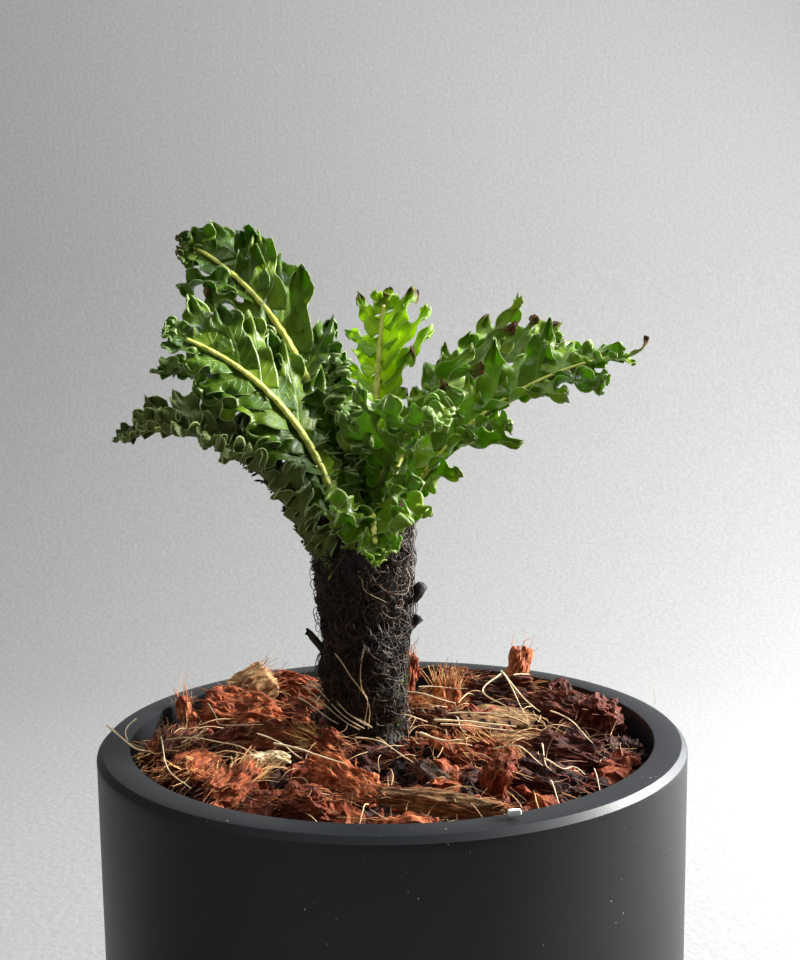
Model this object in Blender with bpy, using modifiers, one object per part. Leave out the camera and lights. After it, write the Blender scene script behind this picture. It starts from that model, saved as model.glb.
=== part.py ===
"""A small crisped fern with a short trunk, growing in husk chips in a round pot.

Metres, +Z up, the pot's axis on the origin and its foot on the floor.
Everything is one free-standing group: nothing here turns or slides.
"""

import math
import random

import bmesh
import bpy
from mathutils import Matrix, Vector

MM = 0.001

# Pot: a turned cylinder with a broad flat rim and a small chamfer.
POT_HEIGHT = 140 * MM
POT_RADIUS = 75 * MM
POT_FOOT_RADIUS = 73.5 * MM
RIM_CHAMFER = 1.6 * MM
RIM_INNER_RADIUS = 66.8 * MM
RIM_DEPTH = 12 * MM
WALL = 4.5 * MM
FLOOR = 5 * MM
FOOT_RECESS = 3 * MM
FOOT_WIDTH = 7 * MM
DRAIN_RADIUS = 7 * MM
POT_SEGMENTS = 64

# Clearances between pieces that touch in life.
GAP = 0.3 * MM

# Growing medium: husk fibre filling the pot to just under the rim.
MEDIUM_EDGE_DROP = 10 * MM
MEDIUM_CROWN = 4 * MM
MEDIUM_LUMP = 1.2 * MM
MEDIUM_SEGMENTS = 44
DRAIN_HOLLOW_RADIUS = 11 * MM
DRAIN_HOLLOW_HEIGHT = 5 * MM

# Trunk: a short matted stem on a buried rootball.
TRUNK_X = -7 * MM
TRUNK_Y = 6 * MM
TRUNK_HEIGHT = 58 * MM
TRUNK_FOOT_RADIUS = 9.4 * MM
TRUNK_CROWN_RADIUS = 12 * MM
ROOTBALL_RADIUS = 17 * MM
ROOTBALL_DEPTH = 34 * MM
TRUNK_ROUGHNESS = 0.5 * MM
TRUNK_SEGMENTS = 20

# Fronds.
BLADE_HALF_WIDTH = 14 * MM
BLADE_THICKNESS = 0.9 * MM
STIPE_WIDTH = 2.8 * MM
RIB_HEIGHT = 1.3 * MM
RIB_WIDTH = 1.5 * MM
LOBES = 7
NOTCH_SHARE = 0.5
LOBE_WAVE = 1.8 * MM
BLADE_CUP = 0.22
STEM_ROOT_INSET = 4 * MM

# name: heading at base and tip, rise at base and tip (degrees), length and
# height on the trunk (mm), bend, blade share of width, roll base and tip
# (degrees), share of the length that is bare stipe.
FRONDS = {
    "frond_rear_left": (146, 160, 83, 26, 92, 53, 1.3, 1.00, 25, 25, 0.42),
    "frond_mid_left": (205, 190, 88, 21, 72, 46, 1.0, 0.95, 40, 40, 0.22),
    "frond_low_left": (192, 202, 71, -19, 81, 27, 2.2, 0.80, 10, 10, 0.30),
    "frond_back_centre": (82, 78, 69, 63, 70, 49, 1.0, 0.85, 0, 0, 0.40),
    "frond_upper_right": (48, 8, 84, 10, 77, 50, 0.8, 0.80, 10, 10, 0.36),
    "frond_long_right": (-12, -8, 82, 9, 86, 42, 0.8, 0.95, -10, 10, 0.26),
    "frond_front_right": (-74, -66, 71, 8, 56, 44, 1.2, 0.80, 0, 0, 0.22),
    "frond_front_centre": (-84, -86, 66, -46, 48, 40, 1.3, 0.70, 0, 0, 0.22),
    "frond_upper_left": (164, 164, 86, -2, 80, 40, 1.25, 0.62, 0, 0, 0.50),
    "frond_back_left": (118, 128, 72, 6, 74, 44, 1.2, 0.90, 0, 0, 0.30),
    "frond_back_right": (60, 50, 62, 0, 74, 36, 1.2, 0.90, 0, 0, 0.34),
    "frond_inner_front": (-100, -118, 84, 72, 46, 51, 1.0, 0.70, 180, 180, 0.28),
}

# The chips are laid out for a bed of this radius, and the whole bed, chips
# included, is sized to the rim's opening.
CHIP_BED_RADIUS = 66.8 * MM
# The ring round the trunk that the chips were laid out to leave free.
CHIP_FREE_RADIUS = 9.4 * MM

# Husk chips in mm and degrees: centre x, y and height over the rim, length
# along the grain, width, thickness, then turn, pitch and roll.
CHIPS = {
    "husk_block_pale": (-41, 37, 1, 13, 11, 9, 25, -25, 20),
    "husk_plate_large": (-42, 21, -2, 21, 14, 7, -8, 5, 35),
    "husk_sliver_left": (-57, 21, -1, 9, 4, 4, 105, -35, 0),
    "husk_slab_left": (-59, -7, -4, 16, 9, 5, 86, 0, 50),
    "husk_tuft_left": (-48, -20, -4, 14, 9, 8, 60, 0, 10),
    "husk_tuft_front": (-37, -32, -4, 14, 9, 8, 68, -10, 0),
    "husk_nub_front": (-29, -47, -5, 8, 7, 7, 20, 0, 15),
    "husk_cube_front": (-17.5, -50, -3, 12, 9, 9, -12, 5, 25),
    "husk_strip_diagonal": (-11, -35, -2, 24, 6, 6, -52, 6, 15),
    "husk_chip_by_trunk": (-4, -17, -5, 12, 9, 8, -35, 10, 10),
    "husk_plate_left": (-29.5, -1, -3, 14, 12, 7, -18, -8, 20),
    "husk_curl": (-16, -12, -1, 12, 6, 6, -40, 12, 30),
    "husk_lump_back_left": (-30, 48, -1, 13, 9, 8, -15, 5, 10),
    "husk_lump_back": (-17, 51, -2, 9, 9, 9, 30, 0, 0),
    "husk_peg_back": (5, 45, 3, 13, 5, 5, 80, -72, 0),
    "husk_brush_back": (15, 36, -1, 11, 7, 6, 75, -65, 10),
    "husk_brush_behind": (5, 32, -3, 8, 8, 7, 20, 0, 0),
    "husk_knob_back": (21, 54, -1, 8, 7, 7, 0, 10, 15),
    "husk_plate_back": (32, 38, -2, 18, 13, 6, -10, 0, 40),
    "husk_spike_back": (37, 50, 3, 16, 7, 6, 60, -55, 0),
    "husk_block_right": (46, 25, -4, 11, 9, 10, -20, 0, 15),
    "husk_nub_right": (49, 37, -3, 7, 7, 8, 30, 0, 0),
    "husk_lump_right": (56, 14, -1, 13, 10, 11, 70, 15, 0),
    "husk_bit_right": (49, 6, -6, 8, 6, 6, 10, 0, 10),
    "husk_wedge_right": (59, -5, -6, 9, 8, 6, 60, 10, 0),
    "husk_plate_right": (45, -10, -5, 20, 12, 7, -25, 5, 25),
    "husk_plate_front_right": (36, -34, -4, 16, 13, 7, -25, 10, 20),
    "husk_post_front": (24, -42, 0, 12, 6, 5, -70, -65, 0),
    "husk_stick_front": (11, -50, -2, 26, 5, 5, -12, 5, 10),
    "husk_knobs_front": (4, -59, -5, 12, 5, 5, -5, 0, 0),
    "husk_chip_right_of_trunk": (12, 9, -2, 12, 8, 6, -18, 5, 15),
    "husk_lump_by_trunk": (8, -8.5, -4, 8, 7, 7, 25, 0, 0),
    "bark_strip_pale": (31, -0.3, -3, 14, 6, 3.5, 3, 0, 25),
    "husk_strip_right": (26, -13, -3, 15, 6, 5, -38, 5, 20),
    "husk_stick_grey": (9, -28, -3, 11, 4, 4, -58, 10, 0),
    "husk_strip_orange": (14.5, -16.5, -1, 13, 5, 5, -52, 12, 15),
    "bark_plate_dark": (28, 20, -4, 20, 13, 5, -4, 0, 12),
    "husk_lump_left": (-44, 2, -5, 12, 9, 7, 40, 0, 10),
    "husk_bit_left": (-57, 8, -6, 9, 7, 6, 80, 0, 0),
    "husk_chip_back": (-10, 31, -4, 13, 10, 7, 15, 0, 10),
    "husk_chip_back_left": (-26, 31, -4, 12, 9, 7, -40, 5, 0),
    "husk_chip_behind": (-5, 53, -4, 12, 8, 7, 5, 0, 10),
    "husk_chip_middle": (19, -29, -5, 9, 7, 6, 30, 0, 10),
}
SMOOTH_ANGLE = 28
CHIP_ROUGHNESS = 0.9 * MM
CHIP_ROUNDING = 0.12
LONG_CHIP = 17.5 * MM

# A cream flake lies on the chips, one pale fertiliser grain on the rim.
FLAKE = (-30, -18, -2.2, 10, 6, 2.4, -12, 0, 12)
GRAIN = (25.6, -65.0, 1.3, 3.2, 1.6, 1.5, 8, 0, 0)

OBJECT_COLLECTION = "potted_fern"
CUTTER_COLLECTION = "cutters"


def clear_scene():
    for obj in list(bpy.data.objects):
        bpy.data.objects.remove(obj, do_unlink=True)


def new_collection(name):
    collection = bpy.data.collections.new(name)
    bpy.context.scene.collection.children.link(collection)
    return collection


def principled(name, colour, roughness):
    material = bpy.data.materials.new(name)
    material.use_nodes = True
    shader = material.node_tree.nodes["Principled BSDF"]
    shader.inputs["Base Color"].default_value = (*colour, 1.0)
    shader.inputs["Roughness"].default_value = roughness
    return material


def pot_material():
    return principled("pot_charcoal", (0.05, 0.052, 0.053), 0.6)


def medium_material():
    return principled("husk_fibre_dark", (0.07, 0.025, 0.012), 0.9)


def trunk_material():
    return principled("matted_root", (0.02, 0.015, 0.01), 0.8)


def leaf_material():
    return principled("leaf_green", (0.05, 0.15, 0.015), 0.35)


def husk_material():
    return principled("husk_chip_red", (0.32, 0.09, 0.035), 0.85)


def bark_material():
    return principled("bark_brown", (0.22, 0.12, 0.05), 0.8)


def flake_material():
    return principled("cream_flake", (0.85, 0.75, 0.5), 0.8)


def grain_material():
    return principled("pale_grain", (0.9, 0.9, 0.85), 0.5)


def object_from(bm, name, collection, material=None):
    bmesh.ops.recalc_face_normals(bm, faces=bm.faces)
    mesh = bpy.data.meshes.new(name)
    bm.to_mesh(mesh)
    bm.free()
    obj = bpy.data.objects.new(name, mesh)
    collection.objects.link(obj)
    if material is not None:
        mesh.materials.append(material)
    return obj


def cutter_from(bm, name, cutters):
    obj = object_from(bm, name, cutters)
    obj.hide_render = True
    obj.display_type = "WIRE"
    return obj


def shade_smooth(obj):
    """Smooth faces, with a crease wherever two meet at a real corner."""
    bm = bmesh.new()
    bm.from_mesh(obj.data)
    for face in bm.faces:
        face.smooth = True
    for edge in bm.edges:
        edge.smooth = edge.calc_face_angle(0.0) < math.radians(SMOOTH_ANGLE)
    bm.to_mesh(obj.data)
    bm.free()


def settle(obj):
    """Replaces the object's mesh by what its modifiers make of it."""
    graph = bpy.context.evaluated_depsgraph_get()
    mesh = bpy.data.meshes.new_from_object(obj.evaluated_get(graph))
    old = obj.data
    obj.modifiers.clear()
    obj.data = mesh
    bpy.data.meshes.remove(old)


def boolean(obj, other, operation):
    modifier = obj.modifiers.new(operation.lower(), "BOOLEAN")
    modifier.operation = operation
    modifier.solver = "EXACT"
    modifier.object = other


def turned(profile, name, collection, segments, material=None):
    """A solid of revolution: the profile is a closed loop of (radius, z)."""
    mesh = bpy.data.meshes.new(name)
    points = [(radius, 0.0, z) for radius, z in profile]
    edges = [(i, i + 1) for i in range(len(points) - 1)]
    if profile[0][0] > 0:
        edges.append((len(points) - 1, 0))
    mesh.from_pydata(points, edges, [])
    obj = bpy.data.objects.new(name, mesh)
    collection.objects.link(obj)
    screw = obj.modifiers.new("turn", "SCREW")
    screw.axis = "Z"
    screw.angle = math.tau
    screw.steps = segments
    screw.render_steps = segments
    screw.use_merge_vertices = True
    screw.merge_threshold = 0.0001
    screw.use_smooth_shade = True
    screw.use_normal_calculate = True
    settle(obj)
    if material is not None:
        obj.data.materials.clear()
        obj.data.materials.append(material)
    return obj


def inner_profile(clearance):
    """The pot's inside from the rim down to the floor, at +X."""
    top = POT_HEIGHT
    rim = RIM_INNER_RADIUS - clearance
    wall_top = POT_RADIUS - WALL - clearance
    wall_foot = POT_FOOT_RADIUS - WALL - clearance
    return [
        (rim, top - MEDIUM_EDGE_DROP if clearance else top),
        (rim, top - RIM_DEPTH),
        (wall_top, top - RIM_DEPTH - 6 * MM),
        (wall_foot, FOOT_RECESS + FLOOR + clearance),
    ]


def make_pot(collection):
    floor_under = FOOT_RECESS
    floor_top = FOOT_RECESS + FLOOR
    foot_inner = POT_FOOT_RADIUS - FOOT_WIDTH
    outside = [
        (POT_RADIUS - RIM_CHAMFER, POT_HEIGHT),
        (POT_RADIUS, POT_HEIGHT - RIM_CHAMFER),
        (POT_FOOT_RADIUS, 1.0 * MM),
        (POT_FOOT_RADIUS - 1.0 * MM, 0.0),
        (foot_inner, 0.0),
        (foot_inner - 1.0 * MM, floor_under),
        (DRAIN_RADIUS, floor_under),
        (DRAIN_RADIUS, floor_top),
    ]
    inside = list(reversed(inner_profile(0.0)))
    pot = turned(outside + inside, "pot", collection, POT_SEGMENTS, pot_material())
    return pot


def split_faces(obj):
    """Cuts every face into triangles, so that bent ones lie one way only."""
    bm = bmesh.new()
    bm.from_mesh(obj.data)
    bmesh.ops.triangulate(bm, faces=bm.faces[:])
    bm.to_mesh(obj.data)
    bm.free()


def lump(x, y):
    """A gentle, repeatable unevenness for the medium's top."""
    waves = (
        math.sin(210 * x + 1.3) * math.cos(170 * y - 0.4)
        + 0.6 * math.sin(390 * y + 240 * x)
        + 0.4 * math.cos(520 * x - 310 * y + 2.0)
    )
    return MEDIUM_LUMP * waves


def make_medium(collection):
    side = inner_profile(GAP)
    rim = side[0][0]
    edge = POT_HEIGHT - MEDIUM_EDGE_DROP
    top = []
    rings = 6
    for i in range(rings):
        share = i / rings
        top.append((rim * share, edge + MEDIUM_CROWN * (1 - share**2)))
    base = FOOT_RECESS + FLOOR + GAP
    hollow = [
        (DRAIN_HOLLOW_RADIUS, base),
        (DRAIN_HOLLOW_RADIUS * 0.7, base + DRAIN_HOLLOW_HEIGHT),
        (0.0, base + DRAIN_HOLLOW_HEIGHT),
    ]
    profile = top + side + hollow
    medium = turned(
        profile, "growing_medium", collection, MEDIUM_SEGMENTS, medium_material()
    )
    for vertex in medium.data.vertices:
        x, y, z = vertex.co
        radius = math.hypot(x, y)
        if z > edge - 1.0 * MM and radius < rim - 1.0 * MM:
            vertex.co.z += lump(x, y)
    split_faces(medium)
    return medium


def trunk_radius(height):
    """Trunk radius at a height over the pot's rim."""
    share = max(0.0, min(1.0, height / TRUNK_HEIGHT))
    return TRUNK_FOOT_RADIUS + (TRUNK_CROWN_RADIUS - TRUNK_FOOT_RADIUS) * share


def trunk_profile(grow):
    """From the crown down the outer side to the rootball's underside."""
    top = TRUNK_HEIGHT
    shape = [
        (0.0, top + grow),
        (0.45 * TRUNK_CROWN_RADIUS, top - 0.5 * MM + grow),
        (0.85 * TRUNK_CROWN_RADIUS, top - 4 * MM),
        (TRUNK_CROWN_RADIUS, top - 11 * MM),
    ]
    for share in (0.62, 0.45, 0.28, 0.12):
        height = TRUNK_HEIGHT * share
        shape.append((trunk_radius(height), height))
    shape += [
        (TRUNK_FOOT_RADIUS * 1.08, -3 * MM),
        (ROOTBALL_RADIUS * 0.8, -12 * MM + grow),
        (ROOTBALL_RADIUS, -20 * MM),
        (ROOTBALL_RADIUS * 0.8, -ROOTBALL_DEPTH + 4 * MM - grow),
        (ROOTBALL_RADIUS * 0.4, -ROOTBALL_DEPTH - grow),
        (0.0, -ROOTBALL_DEPTH - grow),
    ]
    return [(r + grow if r > 0 else 0.0, z + POT_HEIGHT) for r, z in shape]


def trunk_body(name, collection, grow, material=None):
    trunk = turned(trunk_profile(grow), name, collection, TRUNK_SEGMENTS, material)
    for vertex in trunk.data.vertices:
        x, y, z = vertex.co
        angle = math.atan2(y, x)
        radius = math.hypot(x, y)
        if radius > 1 * MM:
            ripple = math.sin(5 * angle + 90 * z) + math.sin(3 * angle - 210 * z)
            swell = 1 + TRUNK_ROUGHNESS * ripple / radius
            vertex.co.x = x * swell
            vertex.co.y = y * swell
        vertex.co.x += TRUNK_X
        vertex.co.y += TRUNK_Y
    split_faces(trunk)
    return trunk


# Old leaf-stalk ends: heading (degrees), height and length (mm).
STUBS = ((187, 18, 9), (2, 23, 6), (-4, 31, 7), (120, 26, 7))


def stub_cone(heading, height, length):
    """A short upswept peg, rooted inside the trunk."""
    bm = bmesh.new()
    bmesh.ops.create_cone(
        bm,
        cap_ends=True,
        segments=7,
        radius1=1.5 * MM,
        radius2=1.0 * MM,
        depth=length + 6 * MM,
    )
    turn = math.radians(heading)
    lean = math.radians(38)
    axis = Vector(
        (
            math.sin(lean) * math.cos(turn),
            math.sin(lean) * math.sin(turn),
            math.cos(lean),
        )
    )
    rotation = Vector((0, 0, 1)).rotation_difference(axis).to_matrix().to_4x4()
    radius = trunk_radius(height)
    root = Vector(
        (
            TRUNK_X + radius * math.cos(turn),
            TRUNK_Y + radius * math.sin(turn),
            POT_HEIGHT + height,
        )
    )
    centre = root + axis * (length / 2 - 3 * MM)
    bmesh.ops.transform(bm, matrix=Matrix.Translation(centre) @ rotation, verts=bm.verts)
    return bm


def make_trunk(collection, cutters):
    trunk = trunk_body("trunk", collection, 0.0, trunk_material())
    for index, (heading, height, length) in enumerate(STUBS):
        bm = stub_cone(heading, height * MM, length * MM)
        peg = cutter_from(bm, f"stub_{index}", cutters)
        boolean(trunk, peg, "UNION")
    settle(trunk)
    return trunk


def frond_line(spec, steps):
    """Points, directions and rolls along a frond's midrib."""
    head0, head1, rise0, rise1, length, height, bend = spec[:7]
    roll0, roll1 = spec[8:10]
    turn = math.radians(head0)
    out = trunk_radius(height * MM) - STEM_ROOT_INSET
    point = Vector(
        (
            TRUNK_X + out * math.cos(turn),
            TRUNK_Y + out * math.sin(turn),
            POT_HEIGHT + height * MM,
        )
    )
    step = length * MM / steps
    line = []
    for i in range(steps + 1):
        share = i / steps
        rise = math.radians(rise0 + (rise1 - rise0) * share**bend)
        turn = math.radians(head0 + (head1 - head0) * share)
        roll = math.radians(roll0 + (roll1 - roll0) * share)
        way = Vector(
            (
                math.cos(rise) * math.cos(turn),
                math.cos(rise) * math.sin(turn),
                math.sin(rise),
            )
        )
        line.append((point.copy(), way, turn, roll))
        point += way * step
    return line


def blade_width(share, bare):
    """Half-width share of the blade from the bare stipe to the tip."""
    if share <= bare:
        return 0.0
    along = (share - bare) / (1 - bare)
    rise = min(1.0, along / 0.42)
    fall = 1.0 if along < 0.7 else 1 - 0.62 * ((along - 0.7) / 0.3) ** 1.6
    return (0.3 + 0.7 * math.sin(rise * math.pi / 2)) * fall


def frond_ring(place, way, turn, roll, left, right, waves, blade):
    """One cross-section of a frond, 12 points, left tip over to right tip."""
    side0 = Vector((math.sin(turn), -math.cos(turn), 0.0))
    up0 = side0.cross(way).normalized()
    side = side0 * math.cos(roll) + up0 * math.sin(roll)
    up = up0 * math.cos(roll) - side0 * math.sin(roll)
    edge = BLADE_THICKNESS / 2 if blade else STIPE_WIDTH * 0.28
    rib = RIB_HEIGHT / 2 if blade else STIPE_WIDTH * 0.5
    half_rib = RIB_WIDTH / 2
    tops = [
        (-left, BLADE_CUP * left + waves[0], edge),
        (-left * 0.55, BLADE_CUP * left * 0.3 + waves[0] * 0.3, edge),
        (-half_rib, 0.0, rib),
        (half_rib, 0.0, rib),
        (right * 0.55, BLADE_CUP * right * 0.3 + waves[1] * 0.3, edge),
        (right, BLADE_CUP * right + waves[1], edge),
    ]
    ring = [place + side * s + up * (n + t) for s, n, t in tops]
    ring += [place + side * s + up * (n - t) for s, n, t in reversed(tops)]
    return ring


def join_rings(bm, lower, upper):
    """Sides between two rings, split alike above and below the blade."""
    count = len(lower)
    for i in range(count):
        j = (i + 1) % count
        if i < count // 2:
            bm.faces.new((lower[i], lower[j], upper[j]))
            bm.faces.new((lower[i], upper[j], upper[i]))
        else:
            bm.faces.new((lower[i], lower[j], upper[i]))
            bm.faces.new((lower[j], upper[j], upper[i]))


def frond_mesh(spec, seed):
    """A lobed, cupped blade on a stipe, lofted ring to ring."""
    rng = random.Random(seed)
    share_wide, bare = spec[7], spec[10]
    stipe_rings = 3
    total = stipe_rings + LOBES * 3
    shares = [bare * i / stipe_rings for i in range(stipe_rings)]
    shares += [
        bare + (1 - bare) * (lobe + part) / LOBES
        for lobe in range(LOBES)
        for part in (0.0, 0.24, 0.78)
    ]
    shares.append(1.0)
    fine = 240
    line = frond_line(spec, fine)
    pattern = (NOTCH_SHARE, 0.95, 1.0)
    wave = (-0.8, 0.7, -0.2)
    bm = bmesh.new()
    rows = []
    for index in range(total + 1):
        share = shares[index]
        place, way, turn, roll = line[round(share * fine)]
        width = BLADE_HALF_WIDTH * share_wide * blade_width(share, bare)
        step = index - stipe_rings
        if width > 0:
            left = width * pattern[step % 3] * rng.uniform(0.9, 1.05)
            right = width * pattern[step % 3] * rng.uniform(0.9, 1.05)
            size = LOBE_WAVE * min(1.0, width / (8 * MM)) * wave[step % 3]
            waves = (size, -0.6 * size)
            left = max(left, RIB_WIDTH)
            right = max(right, RIB_WIDTH)
        else:
            left = right = STIPE_WIDTH / 2
            waves = (0.0, 0.0)
        ring = frond_ring(place, way, turn, roll, left, right, waves, width > 0)
        rows.append([bm.verts.new(point) for point in ring])
    for lower, upper in zip(rows, rows[1:]):
        join_rings(bm, lower, upper)
    for row in (rows[0], rows[-1]):
        for i in range(5):
            bm.faces.new((row[i], row[i + 1], row[10 - i], row[11 - i]))
    return bm


def make_fronds(collection, cutters):
    socket = trunk_body("trunk_clearance", cutters, GAP)
    socket.hide_render = True
    socket.display_type = "WIRE"
    material = leaf_material()
    fronds = []
    for index, (name, spec) in enumerate(FRONDS.items()):
        frond = object_from(frond_mesh(spec, 40 + index), name, collection, material)
        boolean(frond, socket, "DIFFERENCE")
        settle(frond)
        fronds.append(frond)
    return fronds


def bed_place(x, y, scale):
    """Where a laid-out spot falls in this pot, clear of this trunk."""
    spot = Vector((x, y)) * MM * scale
    trunk = Vector((TRUNK_X, TRUNK_Y))
    away = spot - trunk
    push = max(0.0, TRUNK_FOOT_RADIUS - CHIP_FREE_RADIUS)
    near = max(0.0, 1 - away.length / (RIM_INNER_RADIUS * 0.7))
    return spot + away.normalized() * push * near


def chip_mesh(spec, seed, grow, scale=1.0):
    """A rough block of husk: a divided box with worn corners."""
    x, y, height, length, width, thick, turn, pitch, roll = spec
    rng = random.Random(seed)
    bed = RIM_INNER_RADIUS / CHIP_BED_RADIUS
    x, y = bed_place(x, y, bed)
    size = Vector((length, width, thick)) * MM * bed
    bm = bmesh.new()
    bmesh.ops.create_cube(bm, size=1.0)
    cuts = 2 if length * MM > LONG_CHIP else 1
    bmesh.ops.subdivide_edges(bm, edges=bm.edges[:], cuts=cuts, use_grid_fill=True)
    rough = min(CHIP_ROUGHNESS * scale, 0.14 * thick * MM)
    for vertex in bm.verts:
        reach = sum(abs(value) > 0.49 for value in vertex.co)
        worn = 1 - CHIP_ROUNDING * max(0, reach - 1)
        spot = Vector(
            (
                vertex.co.x * size.x * worn,
                vertex.co.y * size.y * worn,
                vertex.co.z * size.z * worn,
            )
        )
        spot += Vector([rng.uniform(-rough, rough) for _ in range(3)])
        for axis in range(3):
            spot[axis] += math.copysign(grow, vertex.co[axis]) if vertex.co[axis] else 0
        vertex.co = spot
    rotation = (
        Matrix.Rotation(math.radians(turn), 4, "Z")
        @ Matrix.Rotation(math.radians(pitch), 4, "Y")
        @ Matrix.Rotation(math.radians(roll), 4, "X")
    )
    place = Matrix.Translation(Vector((x, y, POT_HEIGHT + height * MM)))
    bmesh.ops.transform(bm, matrix=place @ rotation, verts=bm.verts)
    bmesh.ops.triangulate(bm, faces=bm.faces)
    return bm


def make_chips(collection, cutters):
    husk, bark = husk_material(), bark_material()
    pockets = []
    for index, (name, spec) in enumerate(CHIPS.items()):
        material = bark if name.startswith("bark") else husk
        object_from(chip_mesh(spec, index, 0.0), name, collection, material)
        pocket = chip_mesh(spec, index, GAP)
        pockets.append(cutter_from(pocket, f"pocket_{index}", cutters))
    flake = chip_mesh(FLAKE, 101, 0.0)
    object_from(flake, "cream_flake", collection, flake_material())
    pockets.append(cutter_from(chip_mesh(FLAKE, 101, GAP), "pocket_flake", cutters))
    grain = chip_mesh(GRAIN, 102, 0.0, 0.2)
    object_from(grain, "fertiliser_grain", collection, grain_material())
    return pockets


def seat_pieces(medium, pockets, cutters):
    """Cuts the rootball's seat and every chip's pocket into the medium."""
    seat = trunk_body("rootball_seat", cutters, GAP)
    seat.hide_render = True
    seat.display_type = "WIRE"
    for cutter in [seat, *pockets]:
        boolean(medium, cutter, "DIFFERENCE")
    settle(medium)


def main():
    clear_scene()
    collection = new_collection(OBJECT_COLLECTION)
    cutters = new_collection(CUTTER_COLLECTION)
    cutters.hide_render = True
    pot = make_pot(collection)
    medium = make_medium(collection)
    trunk = make_trunk(collection, cutters)
    make_fronds(collection, cutters)
    pockets = make_chips(collection, cutters)
    seat_pieces(medium, pockets, cutters)
    shade_smooth(pot)
    shade_smooth(trunk)


main()
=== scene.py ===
"""The looks of a small crisped fern in husk chips in a dark round pot.

Everything rides on the one body, root. Metres, +Z up, the pot's axis on the
origin and its foot on the floor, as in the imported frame.
"""

import math

import bmesh
import bpy
import numpy as np
from mathutils import Matrix, Vector


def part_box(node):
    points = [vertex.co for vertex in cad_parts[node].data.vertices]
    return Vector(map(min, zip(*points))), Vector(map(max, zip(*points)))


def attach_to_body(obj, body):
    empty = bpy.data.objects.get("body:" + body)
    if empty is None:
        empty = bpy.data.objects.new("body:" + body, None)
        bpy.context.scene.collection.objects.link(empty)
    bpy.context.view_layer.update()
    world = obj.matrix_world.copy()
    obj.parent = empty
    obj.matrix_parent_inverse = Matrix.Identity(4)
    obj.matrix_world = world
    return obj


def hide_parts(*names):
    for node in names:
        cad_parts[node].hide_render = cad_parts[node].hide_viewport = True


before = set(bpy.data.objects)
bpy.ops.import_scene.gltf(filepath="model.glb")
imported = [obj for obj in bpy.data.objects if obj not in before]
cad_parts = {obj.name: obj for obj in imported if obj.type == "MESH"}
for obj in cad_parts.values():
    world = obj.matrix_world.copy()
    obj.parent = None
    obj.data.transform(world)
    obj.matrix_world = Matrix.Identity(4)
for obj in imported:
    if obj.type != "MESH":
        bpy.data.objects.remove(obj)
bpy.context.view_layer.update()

MM = 0.001
POT_LOW, POT_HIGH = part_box("pot")
RIM_Z = POT_HIGH.z
POT_RADIUS = POT_HIGH.x
TRUNK_X = -7 * MM
TRUNK_Y = 6 * MM
TRUNK_HEIGHT = 58 * MM
TRUNK_FOOT_RADIUS = 9.4 * MM
TRUNK_CROWN_RADIUS = 12 * MM
STEM_ROOT_INSET = 4 * MM
BLADE_HALF_WIDTH = 14 * MM

# The fronds' midribs: heading at base and tip, rise at base and tip
# (degrees), length and height on the trunk (mm), bend, blade share of
# width, roll base and tip (degrees), share of the length that is bare.
FRONDS = {
    "frond_rear_left": (146, 160, 83, 26, 92, 53, 1.3, 1.00, 25, 25, 0.42),
    "frond_mid_left": (205, 190, 88, 21, 72, 46, 1.0, 0.95, 40, 40, 0.22),
    "frond_low_left": (192, 202, 71, -19, 81, 27, 2.2, 0.80, 10, 10, 0.30),
    "frond_back_centre": (82, 78, 69, 63, 70, 49, 1.0, 0.85, 0, 0, 0.40),
    "frond_upper_right": (48, 8, 84, 10, 77, 50, 0.8, 0.80, 10, 10, 0.36),
    "frond_long_right": (-12, -8, 82, 9, 86, 42, 0.8, 0.95, -10, 10, 0.26),
    "frond_front_right": (-74, -66, 71, 8, 56, 44, 1.2, 0.80, 0, 0, 0.22),
    "frond_front_centre": (-84, -86, 66, -46, 48, 40, 1.3, 0.70, 0, 0, 0.22),
    "frond_upper_left": (164, 164, 86, -2, 80, 40, 1.25, 0.62, 0, 0, 0.50),
    "frond_back_left": (118, 128, 72, 6, 74, 44, 1.2, 0.90, 0, 0, 0.30),
    "frond_back_right": (60, 50, 62, 0, 74, 36, 1.2, 0.90, 0, 0, 0.34),
    "frond_inner_front": (-100, -118, 84, 72, 46, 51, 1.0, 0.70, 180, 180, 0.28),
}

# How each frond's lobes grow: spacing (mm), breadth (mm), length share on
# the left and right side, lift left and right (degrees over the blade),
# lean towards the tip (degrees), ruffle (mm), how young it is, seed.
HABITS = {
    "frond_rear_left": (7.0, 10.6, 1.00, 1.45, -6, 14, 42, 3.1, 0.25, 31),
    "frond_mid_left": (6.8, 9.8, 1.10, 1.45, -8, 16, 36, 2.6, 0.15, 5),
    "frond_low_left": (5.2, 8.6, 1.15, 1.10, 18, 40, 28, 3.0, 0, 7),
    "frond_back_centre": (5.8, 6.6, 1.15, 1.40, 4, 4, 44, 2.1, 0.95, 9),
    "frond_upper_right": (6.6, 10.6, 1.20, 1.60, 55, 34, 34, 2.3, 0.50, 11),
    "frond_long_right": (6.6, 9.8, 1.15, 1.15, 46, -12, 36, 2.3, 0.35, 13),
    "frond_front_right": (5.8, 9.5, 1.25, 1.25, 35, 35, 32, 2.7, 0.40, 15),
    "frond_front_centre": (5.8, 10.5, 1.15, 1.15, 20, 20, 30, 2.6, 0.40, 17),
    "frond_upper_left": (6.2, 8.8, 1.15, 1.15, 35, 35, 36, 2.4, 0.10, 19),
    "frond_back_left": (6.4, 9.4, 1.10, 1.10, 30, 30, 36, 2.3, 0.20, 21),
    "frond_back_right": (6.4, 9.4, 1.10, 1.10, 30, 30, 36, 2.3, 0.30, 23),
    "frond_inner_front": (4.8, 9.5, 0.85, 1.20, 64, 66, 24, 3.1, 0.15, 25),
}

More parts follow.
